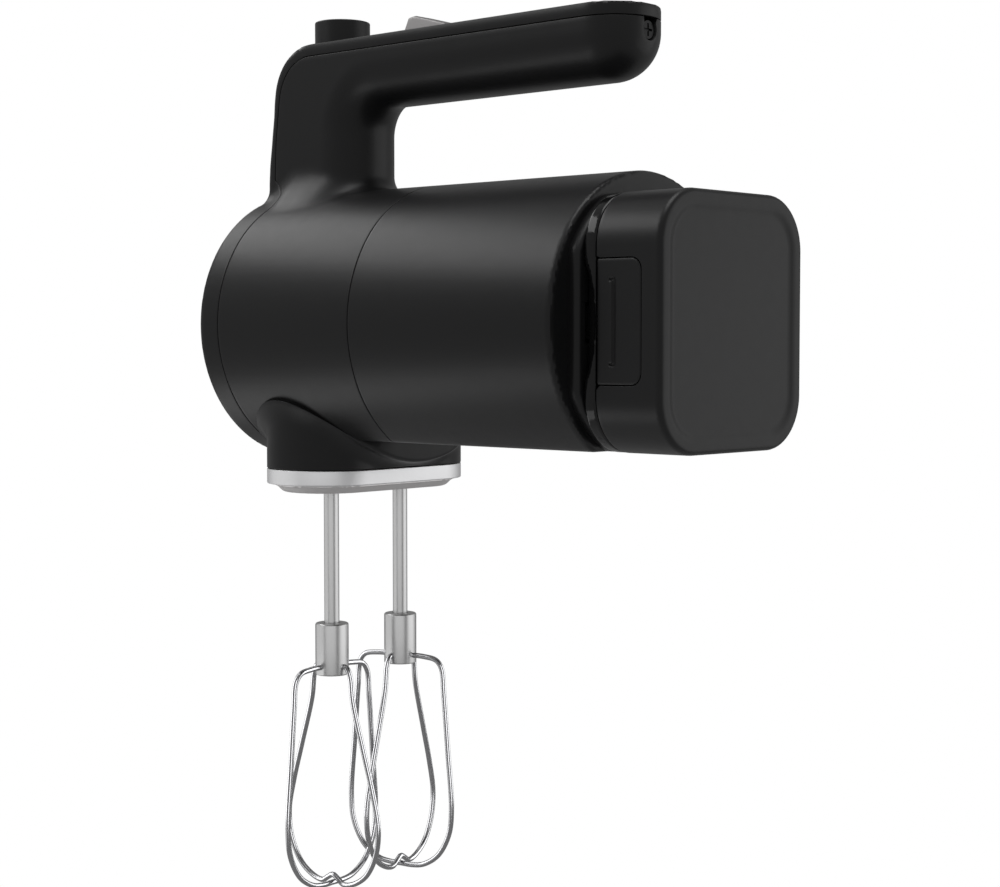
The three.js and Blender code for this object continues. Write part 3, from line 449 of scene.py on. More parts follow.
def net(function: Field, low: Sequence[float], high: Sequence[float], pitch: float) -> Surface:
    """Meshes a signed function: one vertex in each grid cell that its surface crosses.

    Args:
        function: The signed function.
        low: Lowest corner of the room that it fills.
        high: Highest corner.
        pitch: Grid spacing in millimetres.

    Returns:
        The surface, wound so that it faces outwards.
    """
    shift = 0.37 * pitch
    axes = [np.arange(a - 2 * pitch - shift, b + 3 * pitch, pitch) for a, b in zip(low, high)]
    grid = np.stack(np.meshgrid(*axes, indexing="ij"), -1)
    shape = grid.shape[:3]
    value = function(grid.reshape(-1, 3)).reshape(shape)
    cells = tuple(n - 1 for n in shape)
    total = np.zeros((math.prod(cells), 3))
    count = np.zeros(math.prod(cells))
    quads = []
    for axis in range(3):
        near = np.moveaxis(value, axis, 0)[:-1]
        far = np.moveaxis(value, axis, 0)[1:]
        crossing = (near < 0) != (far < 0)
        crossing[:, [0, -1], :] = False
        crossing[:, :, [0, -1]] = False
        i, j, k = np.nonzero(crossing)
        share = near[i, j, k] / (near[i, j, k] - far[i, j, k])
        place = [i + share, j + 0.0, k + 0.0]
        order = [axis, *[a for a in range(3) if a != axis]]
        spot = np.empty((len(i), 3))
        for column, a in zip(place, order):
            spot[:, a] = column
        ring = []
        for dj, dk in ((-1, -1), (0, -1), (0, 0), (-1, 0)):
            index = np.empty((3, len(i)), np.int64)
            for column, a in zip((i, j + dj, k + dk), order):
                index[a] = column
            cell = np.ravel_multi_index(tuple(index), cells)
            ring.append(cell)
            for a in range(3):
                total[:, a] += np.bincount(cell, spot[:, a], len(count))
            count += np.bincount(cell, minlength=len(count))
        quad = np.stack(ring, 1)
        outward = (near[i, j, k] < 0) ^ (axis == 1)
        quads.append(np.where(outward[:, None], quad, quad[:, ::-1]))
    used = np.nonzero(count)[0]
    number = np.full(len(count), -1)
    number[used] = np.arange(len(used))
    start = np.array([a[0] for a in axes])
    points = total[used] / count[used, None] * pitch + start
    faces = number[np.vstack(quads)]
    points = settle(function, points)
    first = np.linalg.norm(points[faces[:, 0]] - points[faces[:, 2]], axis=1)
    second = np.linalg.norm(points[faces[:, 1]] - points[faces[:, 3]], axis=1)
    turned = np.where((first > second)[:, None], np.roll(faces, 1, 1), faces)
    return Surface(points, np.vstack([turned[:, [0, 1, 2]], turned[:, [0, 2, 3]]]))


def edge_slope(function: Field, cut: Field, points: Array) -> Array:
    """The part of the cut's slope that lies in the surface, as unit vectors."""
    normal = gradient(function, points)
    normal /= np.maximum(np.linalg.norm(normal, axis=1), 1e-6)[:, None]
    slope = gradient(cut, points)
    return slope - normal * (slope * normal).sum(1)[:, None]


def to_edge(function: Field, cut: Field, points: Array) -> Array:
    """Slides surface points along the surface to where the cut function is nought."""
    for _ in range(4):
        slope = edge_slope(function, cut, points)
        length = np.maximum((slope**2).sum(1), 0.05)
        step = slope * (cut(points) / length)[:, None]
        points = settle(function, points - np.clip(step, -0.5, 0.5), 1)
    return settle(function, points, 1)


def clip(surface: Surface, function: Field, cut: Field, snap: float) -> Surface:
    """Keeps the part of a surface where the cut function is negative, with a crisp edge.

    Args:
        surface: The surface to cut.
        function: The signed function that the surface belongs to.
        cut: A second function, negative on the part to keep.
        snap: Vertices nearer to the edge than this are slid onto it first.

    Returns:
        The part that is kept.
    """
    points = surface.points.copy()
    value = cut(points)
    near = np.abs(value) < snap
    points[near] = to_edge(function, cut, points[near])
    value[near] = 0
    sign = np.sign(value)[surface.triangles]
    kept = surface.triangles[(sign.max(1) <= 0) & (sign.min(1) < 0)]
    mixed = surface.triangles[(sign.max(1) > 0) & (sign.min(1) < 0)]
    side = np.sign(value)[mixed]
    alone = (side < 0).sum(1) == 1
    lead = np.where(alone, np.argmin(side, 1), np.argmax(side, 1))
    turned = mixed[np.arange(len(mixed))[:, None], (lead[:, None] + [0, 1, 2]) % 3]
    pairs = np.sort(np.vstack([turned[:, [0, 1]], turned[:, [0, 2]]]), axis=1)
    crosses = value[pairs[:, 0]] * value[pairs[:, 1]] < 0
    unique, index = np.unique(pairs[crosses], axis=0, return_inverse=True)
    a, b = value[unique[:, 0]], value[unique[:, 1]]
    share = (a / (a - b))[:, None]
    fresh = points[unique[:, 0]] * (1 - share) + points[unique[:, 1]] * share
    fresh = to_edge(function, cut, fresh)
    meeting = np.where(value[pairs[:, 0]] == 0, pairs[:, 0], pairs[:, 1])
    meeting[crosses] = index.ravel() + len(points)
    one, two = np.split(meeting, 2)
    tip = turned[alone, 0], one[alone], two[alone]
    wide = ~alone
    base = turned[wide, 1], turned[wide, 2]
    corners = [
        np.stack(tip, 1),
        np.stack([base[0], base[1], two[wide]], 1),
        np.stack([base[0], two[wide], one[wide]], 1),
    ]
    triangles = np.vstack([kept, *corners])
    distinct = (triangles != np.roll(triangles, 1, 1)).all(1)
    return Surface(np.vstack([points, fresh]), triangles[distinct]).compact()


def shell(
    surface: Surface,
    function: Field,
    cut: Field,
    depth: float | Array,
    ease: float | Array = 0.2,
) -> Surface:
    """Gives a cut surface a wall, with its cut edges rounded over.

    The outer edge turns through a quarter circle of radius ease, then runs straight in to
    the inner surface, which is the outer one moved inwards by the depth.

    Args:
        surface: The outer surface, cut at ease inside the true edge.
        function: Its signed function.
        cut: The function that it was cut with.
        depth: Wall thickness, one value or one per vertex.
        ease: Edge radius, one value or one per vertex.

    Returns:
        A closed mesh.
    """
    count = len(surface.points)
    normal = gradient(function, surface.points)
    normal /= np.maximum(np.linalg.norm(normal, axis=1), 1e-6)[:, None]
    deep = np.broadcast_to(depth, count)[:, None]
    edges = np.vstack([surface.triangles[:, [i, (i + 1) % 3]] for i in range(3)])
    key = np.sort(edges, 1)
    _, index, uses = np.unique(key, axis=0, return_index=True, return_counts=True)
    rim = edges[index[uses == 1]]
    members = np.unique(rim)
    place = np.full(count, -1)
    place[members] = np.arange(len(members))
    outward = edge_slope(function, cut, surface.points[members])
    outward /= np.maximum(np.linalg.norm(outward, axis=1), 1e-6)[:, None]
    rings = []
    radius = np.broadcast_to(ease, count)[members][:, None]
    for angle in (math.pi / 6, math.pi / 3, math.pi / 2):
        out, down = radius * math.sin(angle), radius * (1 - math.cos(angle))
        rings.append(surface.points[members] + outward * out - normal[members] * down)
    rings.append(surface.points[members] + outward * radius - normal[members] * deep[members])
    inner = surface.points - normal * deep
    points = np.vstack([surface.points, inner, *rings])
    levels = [rim]
    for number in range(len(rings)):
        levels.append(place[rim] + 2 * count + number * len(members))
    levels.append(rim + count)
    walls = []
    for upper, lower in zip(levels[:-1], levels[1:]):
        walls.append(np.stack([upper[:, 1], upper[:, 0], lower[:, 0]], 1))
        walls.append(np.stack([upper[:, 1], lower[:, 0], lower[:, 1]], 1))
    inside = surface.triangles[:, ::-1] + count
    return Surface(points, np.vstack([surface.triangles, inside, *walls]))


def moulded(
    raw: Surface,
    function: Field,
    cut: Field,
    wall: float | Callable[[Array], Array] = 2.4,
    ease: float | Callable[[Array], Array] = 0.2,
    snap: float = 0.4,
) -> Surface:
    """A thin-walled moulding: a surface cut along an edge and given its wall.

    Args:
        raw: The uncut surface.
        function: Its signed function.
        cut: Negative on the part to keep.
        wall: Thickness, or a function of the points that gives it.
        ease: Radius of the cut edges, or a function of the points that gives it.
        snap: See clip().

    Returns:
        A closed mesh.
    """

    def at(value: float | Callable[[Array], Array], points: Array) -> float | Array:
        return value(points) if callable(value) else value

    trimmed = clip(raw, function, lambda p: cut(p) + at(ease, p), snap)
    return shell(trimmed, function, cut, at(wall, trimmed.points), at(ease, trimmed.points))


def grid_faces(rows: int, columns: int, closed_rows: bool) -> NDArray[np.int64]:
    """Triangles of a grid whose columns close into rings.

    Args:
        rows: Number of rings.
        columns: Vertices in each ring.
        closed_rows: Whether the last ring joins the first.

    Returns:
        Vertex indices, one row per triangle.
    """
    row = np.arange(rows if closed_rows else rows - 1)[:, None]
    column = np.arange(columns)[None, :]
    after = (row + 1) % rows
    beside = (column + 1) % columns
    a, b = row * columns + column, row * columns + beside
    c, d = after * columns + beside, after * columns + column
    halves = np.stack([a, b, c], -1), np.stack([a, c, d], -1)
    return np.vstack([half.reshape(-1, 3) for half in halves])


def lathe(profile: Sequence[tuple[float, float]], centre: tuple[float, float]) -> Surface:
    """Turns a profile of (radius, z) about an upright axis.

    Args:
        profile: Points from the bottom of the axis round to its top.
        centre: X and Y of the axis.

    Returns:
        The turned surface; the profile's ends lie on the axis or join up.
    """
    sides = 72
    turn = np.linspace(0, 2 * np.pi, sides, endpoint=False)
    radius, height = np.array(profile, float).T
    x = centre[0] + radius[:, None] * np.cos(turn)
    y = centre[1] + radius[:, None] * np.sin(turn)
    z = np.repeat(height[:, None], sides, 1)
    points = np.stack([x, y, z], -1).reshape(-1, 3)
    return Surface(points, grid_faces(len(height), sides, False))


def eased(profile: Sequence[tuple[float, float, float]]) -> list[tuple[float, float]]:
    """Rounds the corners of a profile.

    Args:
        profile: Corner points as (radius, z, rounding).

    Returns:
        Points with each corner replaced by a quadratic arc of about that rounding.
    """
    made: list[tuple[float, float]] = []
    corners = [np.array(c[:2]) for c in profile]
    for number, (a, b, ease) in enumerate(profile):
        if ease == 0 or number in (0, len(profile) - 1):
            made.append((a, b))
            continue
        here = corners[number]
        back = corners[number - 1] - here
        ahead = corners[number + 1] - here
        start = here + back / np.linalg.norm(back) * ease
        end = here + ahead / np.linalg.norm(ahead) * ease
        for t in np.linspace(0, 1, 6):
            spot = start * (1 - t) ** 2 + here * 2 * t * (1 - t) + end * t**2
            made.append((float(spot[0]), float(spot[1])))
    return made


def ring_of(outline: Array, profile: Sequence[tuple[float, float]]) -> Surface:
    """Runs a profile of (inset, z) round a level outline.

    Args:
        outline: Rows of (x, y, outward x, outward y).
        profile: Insets from the outline and heights.

    Returns:
        The surface; the profile closes on itself.
    """
    inset, height = np.array(profile, float).T
    flat = outline[None, :, :2] - inset[:, None, None] * outline[None, :, 2:]
    z = np.broadcast_to(height[:, None, None], (*flat.shape[:2], 1))
    points = np.concatenate([flat, z], -1).reshape(-1, 3)
    return Surface(points, grid_faces(len(height), len(outline), True)[:, ::-1])


def stadium_outline(half: tuple[float, float]) -> Array:
    """Outline of the collar: two half circles joined by straight sides."""
    turn = np.linspace(0, np.pi, 49)
    reach = half[1] - half[0]
    both = []
    for start, shift in ((0.0, reach), (np.pi, -reach)):
        out = np.stack([np.cos(turn + start), np.sin(turn + start)], 1)
        both.append(np.hstack([out * half[0] + [BEATER_X, shift], out]))
    return np.vstack(both)


def wire(path: Array, radius: float) -> Surface:
    """A closed round wire along a bent path that lies in one upright plane.

    Args:
        path: Points along the wire.
        radius: Wire radius.

    Returns:
        The wire, with its ends closed to points.
    """
    sides = 20
    along = np.gradient(path, axis=0)
    along /= np.linalg.norm(along, axis=1)[:, None]
    across = np.cross(path[len(path) // 2] - path[0], path[-1] - path[0])
    across /= np.linalg.norm(across)
    other = np.cross(along, across)
    turn = np.linspace(0, 2 * np.pi, sides, endpoint=False)
    size = np.full(len(path), radius)
    size[[0, -1]] = 1e-3
    ring = np.cos(turn)[None, :, None] * across + np.sin(turn)[None, :, None] * other[:, None, :]
    points = path[:, None, :] + ring * size[:, None, None]
    return Surface(points.reshape(-1, 3), grid_faces(len(path), sides, False))


def curve_through(points: Array, step: float) -> Array:
    """A smooth curve through points (centripetal Catmull-Rom), sampled at even steps."""
    ends = np.vstack([2 * points[0] - points[1], points, 2 * points[-1] - points[-2]])
    samples = []
    for number in range(len(points) - 1):
        a, b, c, d = ends[number : number + 4]
        gaps = [np.linalg.norm(q - p) ** 0.5 for p, q in ((a, b), (b, c), (c, d))]
        knots = np.cumsum([0, *gaps])
        t = np.linspace(knots[1], knots[2], 24, endpoint=False)[:, None]
        k0, k1, k2, k3 = knots
        ab = (k1 - t) / (k1 - k0) * a + (t - k0) / (k1 - k0) * b
        bc = (k2 - t) / (k2 - k1) * b + (t - k1) / (k2 - k1) * c
        cd = (k3 - t) / (k3 - k2) * c + (t - k2) / (k3 - k2) * d
        abc = (k2 - t) / (k2 - k0) * ab + (t - k0) / (k2 - k0) * bc
        bcd = (k3 - t) / (k3 - k1) * bc + (t - k1) / (k3 - k1) * cd
        samples.append((k2 - t) / (k2 - k1) * abc + (t - k1) / (k2 - k1) * bcd)
    dense = np.vstack([*samples, points[-1:]])
    length = np.concatenate([[0], np.cumsum(np.linalg.norm(np.diff(dense, axis=0), axis=1))])
    even = np.linspace(0, length[-1], max(8, round(length[-1] / step)))
    return np.stack([np.interp(even, length, dense[:, axis]) for axis in range(dense.shape[1])], 1)


# ------------------------------------------------------------------ materials


def colour(code: str) -> tuple[float, float, float, float]:
    """Turns an sRGB hex colour into linear values for a shader."""
    values = [int(code[i : i + 2], 16) / 255 for i in (0, 2, 4)]
    linear = [v / 12.92 if v <= 0.04045 else ((v + 0.055) / 1.055) ** 2.4 for v in values]
    return (*linear, 1.0)


def add(
    tree: bpy.types.NodeTree,
    kind: str,
    settings: dict[str, Any] | None = None,
    inputs: dict[str | int, Any] | None = None,
) -> bpy.types.Node:
    """Adds a shader node.

    Args:
        tree: The node tree.
        kind: Blender's name for the node.
        settings: Attributes of the node.
        inputs: Values for its inputs; a socket is linked instead.

    Returns:
        The node.
    """
    node = tree.nodes.new(kind)
    for name, value in (settings or {}).items():
        setattr(node, name, value)
    for name, value in (inputs or {}).items():
        if isinstance(value, bpy.types.NodeSocket):
            tree.links.new(value, node.inputs[name])
        else:
            node.inputs[name].default_value = value
    return node


@dataclass(frozen=True)
class Finish:
    """A surface finish made of a base and fine noise at its real scale.

    Attributes:
        name: Material name.
        base: sRGB colour.
        roughness: Middle roughness.
        metallic: 1 for a metal.
        grain_mm: Size of the surface grain.
        grain_depth_mm: Depth of the grain.
        spread: How far the roughness wanders.
        tint: How far the colour wanders, as a share.
        stretch: Scale of the grain along X, Y and Z, for brushed or drawn metal.
    """

    name: str
    base: str
    roughness: float
    metallic: float = 0.0
    grain_mm: float = 0.35
    grain_depth_mm: float = 0.01
    spread: float = 0.05
    tint: float = 0.08
    stretch: tuple[float, float, float] = (1.0, 1.0, 1.0)

    def build(self) -> bpy.types.Material:
        """Makes the material."""
        material = bpy.data.materials.new(self.name)
        material.use_nodes = True
        tree = material.node_tree
        tree.nodes.clear()
        where = add(tree, "ShaderNodeTexCoord")
        mapped = add(
            tree,
            "ShaderNodeMapping",
            inputs={"Vector": where.outputs["Object"], "Scale": self.stretch},
        )
        fine = add(
            tree,
            "ShaderNodeTexNoise",
            inputs={
                "Vector": mapped.outputs["Vector"],
                "Scale": 1 / (self.grain_mm * MM),
                "Detail": 3.0,
                "Roughness": 0.55,
            },
        )
        broad = add(
            tree,
            "ShaderNodeTexNoise",
            inputs={"Vector": mapped.outputs["Vector"], "Scale": BLOTCH_SCALE, "Detail": 4.0},
        )
        rough = add(
            tree,
            "ShaderNodeMapRange",
            inputs={
                "Value": broad.outputs["Fac"],
                "From Min": 0.3,
                "From Max": 0.7,
                "To Min": max(self.roughness - self.spread, 0.02),
                "To Max": self.roughness + self.spread,
            },
        )
        low = tuple(c * (1 - self.tint) for c in colour(self.base)[:3])
        high = tuple(min(c * (1 + self.tint), 1.0) for c in colour(self.base)[:3])
        mixed = add(
            tree,
            "ShaderNodeMix",
            settings={"data_type": "RGBA"},
            inputs={0: fine.outputs["Fac"], 6: (*low, 1.0), 7: (*high, 1.0)},
        )
        shader = add(
            tree,
            "ShaderNodeBsdfPrincipled",
            inputs={
                "Base Color": mixed.outputs[2],
                "Roughness": rough.outputs["Result"],
                "Metallic": self.metallic,
            },
        )
        if self.grain_depth_mm > 0:
            bump = add(
                tree,
                "ShaderNodeBump",
                inputs={
                    "Height": fine.outputs["Fac"],
                    "Distance": self.grain_depth_mm * MM,
                    "Strength": 1.0,
                },
            )
            tree.links.new(bump.outputs["Normal"], shader.inputs["Normal"])
        add(tree, "ShaderNodeOutputMaterial", inputs={"Surface": shader.outputs["BSDF"]})
        return material


# A fine spark-eroded texture: one soft, wide highlight along the barrel and no mirror image.
SATIN_ABS = Finish(
    "satin_black_abs", "1C1C1D", 0.36, grain_mm=0.4, grain_depth_mm=0.012, spread=0.015
)
# Polished moulding: sharp dark reflections that set the band off from the satin case.
GLOSS_ABS = Finish("gloss_black_abs", "121213", 0.12, grain_mm=2.5, grain_depth_mm=0.004)
# Satin plating: an even pale band that darkens only where it turns away.
SATIN_CHROME = Finish(
    "satin_plated_band", "E6E6E7", 0.46, 1.0, 0.4, 0.0, 0.008, 0.01, (1.0, 1.0, 4.0)
)
# Drawn and polished wire: thin bright lines beside dark edges.
WIRE_STEEL = Finish(
    "polished_wire_steel", "B6B6B8", 0.18, 1.0, 0.5, 0.0, 0.01, 0.02, (2.0, 2.0, 0.5)
)
# Turned rod: rings round the axis draw the highlight out into soft upright stripes.
SHAFT_STEEL = Finish(
    "turned_shaft_steel", "CBCBCB", 0.3, 1.0, 0.6, 0.0, 0.006, 0.01, (0.5, 0.5, 2.0)
)
# Silver paint with fine flake: a mid grey, duller than the plated band.
SLIDER_SILVER = Finish("satin_painted_slider", "9D9B9B", 0.42, 1.0, 0.3, 0.0, 0.01, 0.02)
BRIGHT_SLOTS = ("beater_steel", "silver_trim")

SLOT_FINISHES = {
    "body_plastic": SATIN_ABS,
    "gloss_band": GLOSS_ABS,
    # Bead-blasted metal: pale and nearly without a highlight.
    "silver_trim": Finish("satin_silver_trim", "E4E2E2", 0.55, 1.0, 0.4, 0.0, 0.01, 0.02),
    "beater_steel": WIRE_STEEL,
    "shaft_steel": SHAFT_STEEL,
    # Oil-blackened steel: a dark sheen on screw heads and laminations.
    "black_steel": Finish("blackened_screw_steel", "2A2A2B", 0.34, 0.6, 0.2, 0.004),
    # Glass fibres at the surface: a dry, slightly cloudy dark grey.
    "inner_nylon": Finish("glass_filled_nylon", "2E2F31", 0.55, grain_mm=0.6),
    # Pressed powder: tiny pores in a warm brown metal.
    "bush_bronze": Finish("sintered_bronze", "9C7440", 0.42, 1.0, 0.15, 0.006),
    # Clear enamel on copper: a red-orange shine.
    "copper": Finish("enamelled_copper", "B5622F", 0.28, 1.0, 0.3, 0.004),
    # Fired ceramic: flat charcoal grey.
    "ferrite": Finish("sintered_ferrite", "38383A", 0.6, grain_mm=0.25),
    # Natural acetal: a waxy off-white.
    "gear_acetal": Finish("white_acetal", "E4E2DA", 0.4, grain_mm=0.5),
    # Solder mask over copper: an even, slightly shiny green.
    "board_green": Finish("solder_masked_board", "1F5A38", 0.3, grain_mm=0.8),
    # Shrunk film: smooth blue with faint ripples.
    "cell_wrap": Finish("shrink_wrapped_cell", "2C5C86", 0.3, grain_mm=1.2),
    # Silicone rubber: dull dark red.
    "lead_jacket": Finish("silicone_lead_jacket", "7A1D1B", 0.45, grain_mm=0.5),
}


# ------------------------------------------------------------------ assembly


@dataclass
class Workshop:
    """Turns surfaces into pieces that ride on the frame.

    Attributes:
        origin: The barrel's origin in the shared frame, in metres.
        made: Materials built so far, by name.
    """

    origin: Array
    made: dict[str, bpy.types.Material] = field(default_factory=dict)

    @classmethod
    def from_frame(cls) -> "Workshop":
        """Finds the barrel's origin from the motor housing's box."""
        low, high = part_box("motor_housing")
        middle = (low.y + high.y) / 2
        return cls(np.array([high.x, middle, high.z - BARREL_R * MM]))

    def metres(self, points: Array) -> Array:
        """Barrel millimetres to metres in the shared frame."""
        return points * MM + self.origin

    def material(self, finish: Finish) -> bpy.types.Material:
        """The material of a finish, built once."""
        if finish.name not in self.made:
            self.made[finish.name] = finish.build()
        return self.made[finish.name]

    def piece(
        self,
        name: str,
        surface: Surface,
        finish: Finish,
        slot: str,
        body: Body,
        replaced: Sequence[str],
    ) -> bpy.types.Object:
        """Makes one piece and ties it to the frame.

        Args:
            name: The piece's name.
            surface: Its mesh in barrel millimetres.
            finish: Its finish.
            slot: The record's material slot.
            body: The body that it rides on.
            replaced: CAD nodes that it stands for.

        Returns:
            The new object.
        """
        tidy = surface.compact()
        mesh = bpy.data.meshes.new(name)
        count = len(tidy.triangles)
        mesh.vertices.add(len(tidy.points))
        mesh.loops.add(3 * count)
        mesh.polygons.add(count)
        mesh.vertices.foreach_set("co", self.metres(tidy.points).astype(np.float32).ravel())
        mesh.loops.foreach_set("vertex_index", tidy.triangles.astype(np.int32).ravel())
        mesh.polygons.foreach_set("loop_start", np.arange(0, 3 * count, 3, dtype=np.int32))
        mesh.update(calc_edges=True)
        mesh.validate()
        mesh.shade_smooth()
        mesh.set_sharp_from_angle(angle=SMOOTH_ANGLE)
        mesh.materials.append(self.material(finish))
        obj = bpy.data.objects.new(name, mesh)
        bpy.context.scene.collection.objects.link(obj)
        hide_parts(*replaced)
        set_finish(obj, slot)
        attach(obj, body.value)
        LOG.info("%s: %d triangles", name, count)
        return obj

    def moulding(self, name: str, surface: Surface, node: str, body: Body = Body.ROOT) -> None:
        """Makes one piece of satin black plastic.

        Args:
            name: The piece's name.
            surface: Its mesh in barrel millimetres.
            node: The CAD node that it stands for.
            body: The body that it rides on.
        """
        self.piece(name, surface, SATIN_ABS, "body_plastic", body, [node])


@dataclass
class Housing:
    """The moulded body: front cover, front housing, motor housing and neck."""

    shop: Workshop

    def build(self) -> None:
        """Makes the four mouldings."""
        self.front()
        self.motor()
        self.neck()

    def front(self) -> None:
        """The front housing and its cover, split along their seam."""
        raw = net(front_body, (-171, -51, -51), (1, 51, 106), 1.25)
        cover = moulded(raw, front_body, self.cover_edge)
        self.shop.moulding("front_cover_shell", cover, "front_cover")
        housing = moulded(raw, front_body, self.housing_edge)
        self.shop.moulding("main_housing_shell", housing, "main_housing")

    @staticmethod
    def cover_edge(p: Array) -> Array:
        """Negative on the cover: its region less the button hole and slider slot."""
        x, y, z = p.T
        on_top = z > 80
        button = np.where(on_top, BUTTON_HOLE_R - np.hypot(x - BUTTON_X, y), FAR)
        slot = -rounded_box(x - SLIDER_SLOT_X, y, SLIDER_SLOT_HALF, 0.6)
        slot = np.where(on_top, slot, FAR)
        return np.maximum.reduce([cover_region(p), button, slot])

    @staticmethod
    def housing_edge(p: Array) -> Array:
        """Negative on the front housing: behind the cover, ahead of the middle seam."""
        x, y, z = p.T
        seam = np.where(z < 60, x - MID_SEAM_X + GAP / 2, FAR)
        screw = np.where(x > -9, SCREW_RECESS_R - np.hypot(y, z - GRIP_AXIS_Z), FAR)
        return np.maximum.reduce([GAP - cover_region(p), seam, screw])

    def motor(self) -> None:
        """The rear barrel half and the dock in its rear face."""
        raw = net(motor_body, (-95, -51, -43), (1, 51, 51), 1.2)

        def edge(p: Array) -> Array:
            return MID_SEAM_X + GAP / 2 - p[:, 0]

        barrel = moulded(raw, motor_body, edge)
        self.shop.moulding("motor_housing_shell", barrel, "motor_housing")
        dock = net(dock_body, (-17, -42, -42), (3, 42, 42), 0.7)
        self.shop.moulding("dock_plate_boss", dock, "dock_plate")

    def neck(self) -> None:
        """The fairing and column under the front of the barrel."""
        raw = net(neck_body, (-168, -51, -58), (-98, 51, -12), 0.9)

        def edge(p: Array) -> Array:
            x, y, z = p.T
            plan = stadium(x, y, FAIRING_HALF, FAIRING_X)
            front = COVER_SEAM_X + GAP - x
            foot = COLLAR_TOP_Z + GAP - z
            return np.maximum.reduce([plan, front, foot, z + 16])

        def wall(p: Array) -> Array:
            return 2.4 + 6.3 * smooth(p[:, 0], -112, -107)

        def ease(p: Array) -> Array:
            return 0.15 + 1.3 * smooth(p[:, 0], -112, -106)

        fairing = moulded(raw, neck_body, edge, wall, ease, 0.3)
        self.shop.moulding("gearbox_neck_fairing", fairing, "gearbox_neck")


@dataclass
class Collar:
    """The silver band round the foot of the neck."""

    shop: Workshop

    def build(self) -> None:
        """Makes the band and the plate inside it."""
        outline = stadium_outline(COLLAR_HALF)
        top, bottom = COLLAR_TOP_Z, COLLAR_BOTTOM_Z
        band = eased(
            [
                (COLLAR_WALL, top, 0),
                (0, top, 0.4),
                (0, bottom, 0.5),
                (COLLAR_WALL, bottom, 0.2),
                (COLLAR_WALL, top, 0),
            ]
        )[:-1]
        self.shop.piece(
            "collar_band",
            ring_of(outline, band),
            SATIN_CHROME,
            "silver_trim",
            Body.ROOT,
            ["collar_trim"],
        )
        self.shop.piece(
            "collar_base_plate",
            net(base_body, (-153, -40, -61), (-114, 40, -53), 0.7),
            SLOT_FINISHES["silver_trim"],
            "silver_trim",
            Body.ROOT,
            ["collar_base"],
        )


@dataclass
class Battery:
    """The battery pack: glossy front, case and two latches."""

    shop: Workshop

    def build(self) -> None:
        """Makes the shown parts of the battery."""
        self.case()
        self.front()
        self.latches()

    def case(self) -> None:
        """The case, open at the front and at the latch windows."""
        raw = net(battery_body, (4, -39, -42), (35, 39, 42), 0.8)
        reach = 5  # the latch windows run out through the open front

        def edge(p: Array) -> Array:
            x, y, z = p.T
            half = (LATCH_HALF[0] + reach + GAP, LATCH_HALF[1] + GAP)
            window = -rounded_box(x - LATCH_MIDDLE[0] + reach, z - LATCH_MIDDLE[1], half, 4.0)
            window = np.where(np.abs(y) > 30, window, FAR)
            return np.maximum(CASE_FRONT_X - x, window)

        case = moulded(raw, battery_body, edge, 2.2)
        self.shop.moulding("battery_case_shell", case, "battery_case", Body.BATTERY)

    def front(self) -> None:
        """The glossy collar with its finger scoops and plug tongue."""
        self.shop.piece(
            "battery_gloss_collar",
            net(collar_body, (-12, -39, -42), (10, 39, 42), 0.62),
            GLOSS_ABS,
            "gloss_band",
            Body.BATTERY,
            ["battery_collar"],
        )

    def latches(self) -> None:
        """Both side latches."""
        left = net(latch_body, (-4, -39, -20), (27, -32, 20), 0.55)
        for name, surface, body in (
            ("left", left, Body.LATCH_LEFT),
            ("right", left.mirrored(), Body.LATCH_RIGHT),
        ):
            self.shop.moulding(f"latch_{name}_pad", surface, f"latch_{name}", body)


@dataclass
class Controls:
    """The eject button and the speed slider."""

    shop: Workshop

    def build(self) -> None:
        """Makes both controls."""
        profile = eased(
            [
                (0, 96.4, 0),
                (BUTTON_FLANGE_R, 96.4, 0.3),
                (BUTTON_FLANGE_R, 98, 0.3),
                (BUTTON_R, 98, 0.2),
                (BUTTON_R, 113.6, 0.5),
                (6.2, 114.3, 2.5),
                (0, 114.5, 0),
            ]
        )
        cap = lathe(profile, (BUTTON_X, 0))
        self.shop.moulding("eject_button_cap", cap, "eject_button", Body.EJECTOR)
        self.shop.piece(
            "speed_slider_knob",
            net(slider_body, (-110, -7, 95), (-87, 7, 113), 0.45),
            SLIDER_SILVER,
            "silver_trim",
            Body.SLIDER,
            ["speed_slider"],
        )


